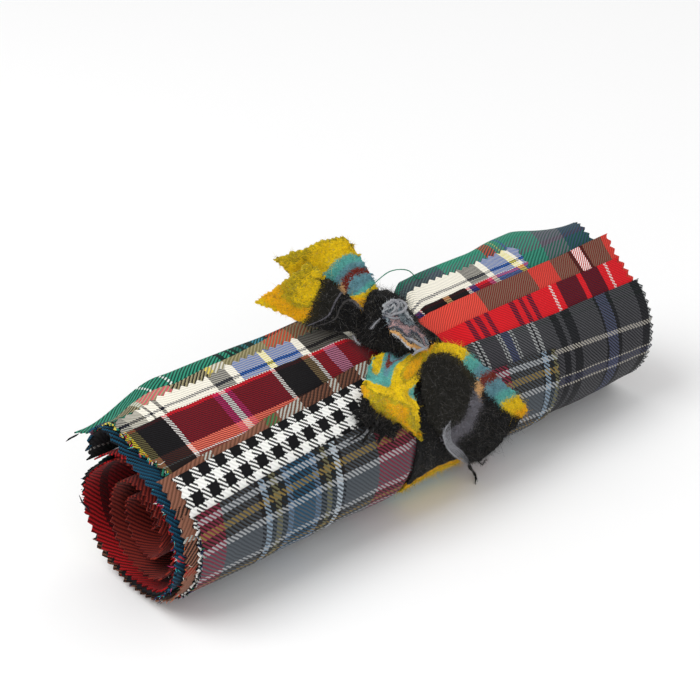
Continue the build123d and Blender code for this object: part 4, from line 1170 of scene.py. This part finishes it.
yarn([(-36.5, -33.1, 30.5), (-41.1, -33.8, 28.5), (-49.1, -34.9, 25.2)], 0.55, (58, 22))
yarn([(-31.5, -39.9, 20.4), (-37.4, -40.6, 18.0), (-38.4, -40.3, 15.4)], 0.80, (58, 22))
yarn([(-37.1, -30.6, 32.8), (-39.3, -32.9, 29.5), (-42.7, -32.8, 28.0)], 0.55, (58, 22))
yarn([(-25.7, -40.7, 19.3), (-28.8, -40.3, 18.2), (-28.6, -40.8, 13.2)], 0.80, (58, 22))
yarn([(-35.7, -35.2, 28.0), (-44.8, -37.5, 23.9), (-54.7, -37.1, 21.4)], 0.55, (58, 22))
yarn([(-44.4, -37.8, 23.1), (-43.1, -37.4, 24.0), (-43.4, -38.8, 22.0)], 0.30, (115, 4))

vo = np.cumsum([0] + [len(v) for v, _, _ in YARNS])
threads = make_object("tie_loose_yarn", np.concatenate([v for v, _, _ in YARNS]), np.concatenate([f + o for (_, f, _), o in zip(YARNS, vo)]),
                      np.concatenate([c for _, _, c in YARNS]), m_wool)
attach(threads, "root")
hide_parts("tie_strip")

roots, dirs3, lens, cols = (np.concatenate([f[k] for f in FUZZ]) for k in range(4))
g = np.random.default_rng(91)
# about one fibre in eight over the black wool is recoloured a lighter grey or brown and made half as long again:
# painted highlight on the stray hairs
dark = (cols[:, 1] * 100 > 12) | (cols[:, 0] * 100 > 44) & (cols[:, 0] * 100 < 70)
pale = dark & (g.uniform(size=len(cols)) < 0.13)
cols = cols.copy()
cols[pale] = np.stack([np.where(g.uniform(size=pale.sum()) < 0.6, 0.985, 1.03), np.full(pale.sum(), 0.04)], 1)
lens = np.where(pale, lens * 1.5, lens)
fuzz = fibres("tie_nap", roots, dirs3, lens, cols, m_nap_highlit, width=0.13)
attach(fuzz, "root")
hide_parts("tie_strip")

# ------------------------------------------------------------------ loose threads and coloured tufts on the cut edges
THREADS = [(0, (214, 60, 120)), (4, (60, 184, 186)), (8, (230, 212, 50)), (12, (30, 128, 98)), (16, (218, 108, 44)), (20, (228, 226, 216)),
           (24, (196, 30, 40)), (28, (24, 24, 30)), (34, (30, 60, 120))]
gt = Graph("loose_thread")
un = gt.nt.nodes.new("ShaderNodeUVMap")
un.uv_map = "thread"
sp = gt.nt.nodes.new("ShaderNodeSeparateXYZ")
gt.link(un.outputs[0], sp.inputs[0])
tcol, _ = gt.stripes(gt.math("MULTIPLY", sp.outputs[0], 100.0), 0.0, 40.0, THREADS)
tco = gt.nt.nodes.new("ShaderNodeTexCoord")
tn = gt.noise(tco.outputs["Object"], 2400.0, 2.0, 0.6)
shade_t = gt.nt.nodes.new("ShaderNodeCombineXYZ")
for i in range(3):
    gt.link(gt.math("ADD", 0.62, gt.math("MULTIPLY", tn, 0.7)), shade_t.inputs[i])
bt = gt.nt.nodes.new("ShaderNodeBsdfPrincipled")
gt.link(gt.mix(1.0, tcol, shade_t.outputs[0], "MULTIPLY"), bt.inputs["Base Color"])
bt.inputs["Roughness"].default_value = 0.9
bt.inputs["Specular IOR Level"].default_value = 0.1
bumpt = gt.nt.nodes.new("ShaderNodeBump")
bumpt.inputs["Strength"].default_value = 0.6
bumpt.inputs["Distance"].default_value = 0.0003
gt.link(tn, bumpt.inputs["Height"])
gt.link(bumpt.outputs[0], bt.inputs["Normal"])
gt.link(bt.outputs[0], gt.out.inputs[0])
g = np.random.default_rng(404)
tr, tu = [], []
for nm, lo_f, hi_f, count, picks in (("dress_tartan_sample", 0.06, 0.30, 60, (0, 4, 8, 8, 12, 16, 20, 24)),
                                     ("teal_tartan_sample", 0.22, 0.52, 46, (0, 4, 20, 24, 28, 34)),
                                     ("green_orange_tartan_sample", 0.16, 0.34, 30, (8, 12, 16, 4, 28)),
                                     ("muted_tartan_sample", 0.05, 0.75, 46, (20, 28, 28, 12, 34)),
                                     ("brown_tartan_sample", 0.10, 0.60, 30, (24, 28, 16, 20)),
                                     ("black_tartan_sample", 0.05, 0.95, 70, (28, 28, 28, 24, 34))):
    P = EDGES[nm][0]
    rows = g.integers(int(lo_f * len(P)), int(hi_f * len(P)), count)
    tr.append(P[rows, 0] + g.normal(size=(count, 3)) * 0.0003)
    tu.append(np.stack([(g.choice(picks, count) + 2.0) / 100.0, np.zeros(count)], 1))
tr, tu = np.concatenate(tr), np.concatenate(tu)
td = np.array([-1.0, -0.15, 0.0]) + g.normal(size=(len(tr), 3)) * 0.7
tufts = fibres("edge_tufts", tr, td, 1.6 * np.exp(g.normal(size=len(tr)) * 0.35), tu, gt.mat, width=0.55, curl=0.8, droop=0.4, seed=8, seg=3)
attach(tufts, "root")
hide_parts("dress_tartan_cloth")
YARNS = []
yarn([(-157.9, 34.7, 33.1), (-158.0, 38.1, 30.2), (-157.9, 42.3, 26.8), (-157.9, 45.9, 23.4)], 0.45, (30, 0))
yarn([(-158.0, 29.0, -7.0), (-158.0, 32.1, -5.8), (-157.9, 35.3, -5.2), (-157.8, 38.2, -2.3)], 0.40, (30, 0))
yarn([(-5.0, 4.2, 67.3), (-2.5, 4.6, 70.5), (7.4, 6.7, 72.4), (15.4, 9.7, 70.9), (24.9, 12.8, 67.1), (32.6, 15.3, 62.3), (39.3, 17.6, 55.1), (42.7, 17.2, 54.3), (47.6, 16.7, 54.6)], 0.28, (14, 0))

vo = np.cumsum([0] + [len(v) for v, _, _ in YARNS])
loose = make_object("edge_threads", np.concatenate([v for v, _, _ in YARNS]), np.concatenate([f + o for (_, f, _), o in zip(YARNS, vo)]),
                    np.concatenate([c for _, _, c in YARNS]), gt.mat)
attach(loose, "root")
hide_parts("green_orange_tartan_cloth")

KEY, FILL, SIDE, WORLD = 17.0, 7.0, 4.0, 0.62

# ------------------------------------------------------------------ camera, light and floor
az, el = math.radians(-41.14), math.radians(30.62)
back = Vector((math.sin(az) * math.cos(el), -math.cos(az) * math.cos(el), math.sin(el)))
target = Vector((0.00473, 0.03073, 0.06062))
cam_data = bpy.data.cameras.new("camera")
cam_data.sensor_width = 36.0
cam_data.lens = 2500.0 / 700.0 * 36.0
cam_data.clip_start, cam_data.clip_end = 0.05, 20.0
cam = bpy.data.objects.new("camera", cam_data)
bpy.context.scene.collection.objects.link(cam)
cam.location = target + back * 1.2658
cam.rotation_euler = back.to_track_quat("Z", "Y").to_euler()
bpy.context.scene.camera = cam


def area(name, loc, look, size, power, colour=(1, 1, 1)):
    d = bpy.data.lights.new(name, "AREA")
    d.shape = "RECTANGLE"
    d.size, d.size_y = size
    d.energy = power
    d.color = colour
    o = bpy.data.objects.new(name, d)
    o.location = loc
    o.rotation_euler = (Vector(loc) - Vector(look)).to_track_quat("Z", "Y").to_euler()
    bpy.context.scene.collection.objects.link(o)
    return o


area("key", (-0.9, 0.35, 1.5), (0, 0, 0.04), (1.2, 1.0), KEY)
area("fill", (-0.5, -1.6, 0.9), (0, 0, 0.04), (1.6, 1.0), FILL)
area("side", (1.6, 0.1, 1.0), (0, 0, 0.04), (1.0, 1.0), SIDE)
world = bpy.data.worlds.new("studio")
world.use_nodes = True
bg = world.node_tree.nodes.get("Background") or world.node_tree.nodes.new("ShaderNodeBackground")
bg.inputs[0].default_value = (1, 1, 1, 1)
bg.inputs[1].default_value = WORLD
bpy.context.scene.world = world
bpy.context.scene.view_settings.view_transform = "Standard"

fm = bpy.data.materials.new("floor")
fm.use_nodes = True
fb = fm.node_tree.nodes["Principled BSDF"]
fb.inputs["Base Color"].default_value = (0.93, 0.93, 0.93, 1)
fb.inputs["Roughness"].default_value = 0.75
fb.inputs["Specular IOR Level"].default_value = 0.2
bpy.ops.mesh.primitive_plane_add(size=12, location=(0, 0, 0))
floor = bpy.context.object
floor.name = "floor"
floor.data.materials.append(fm)
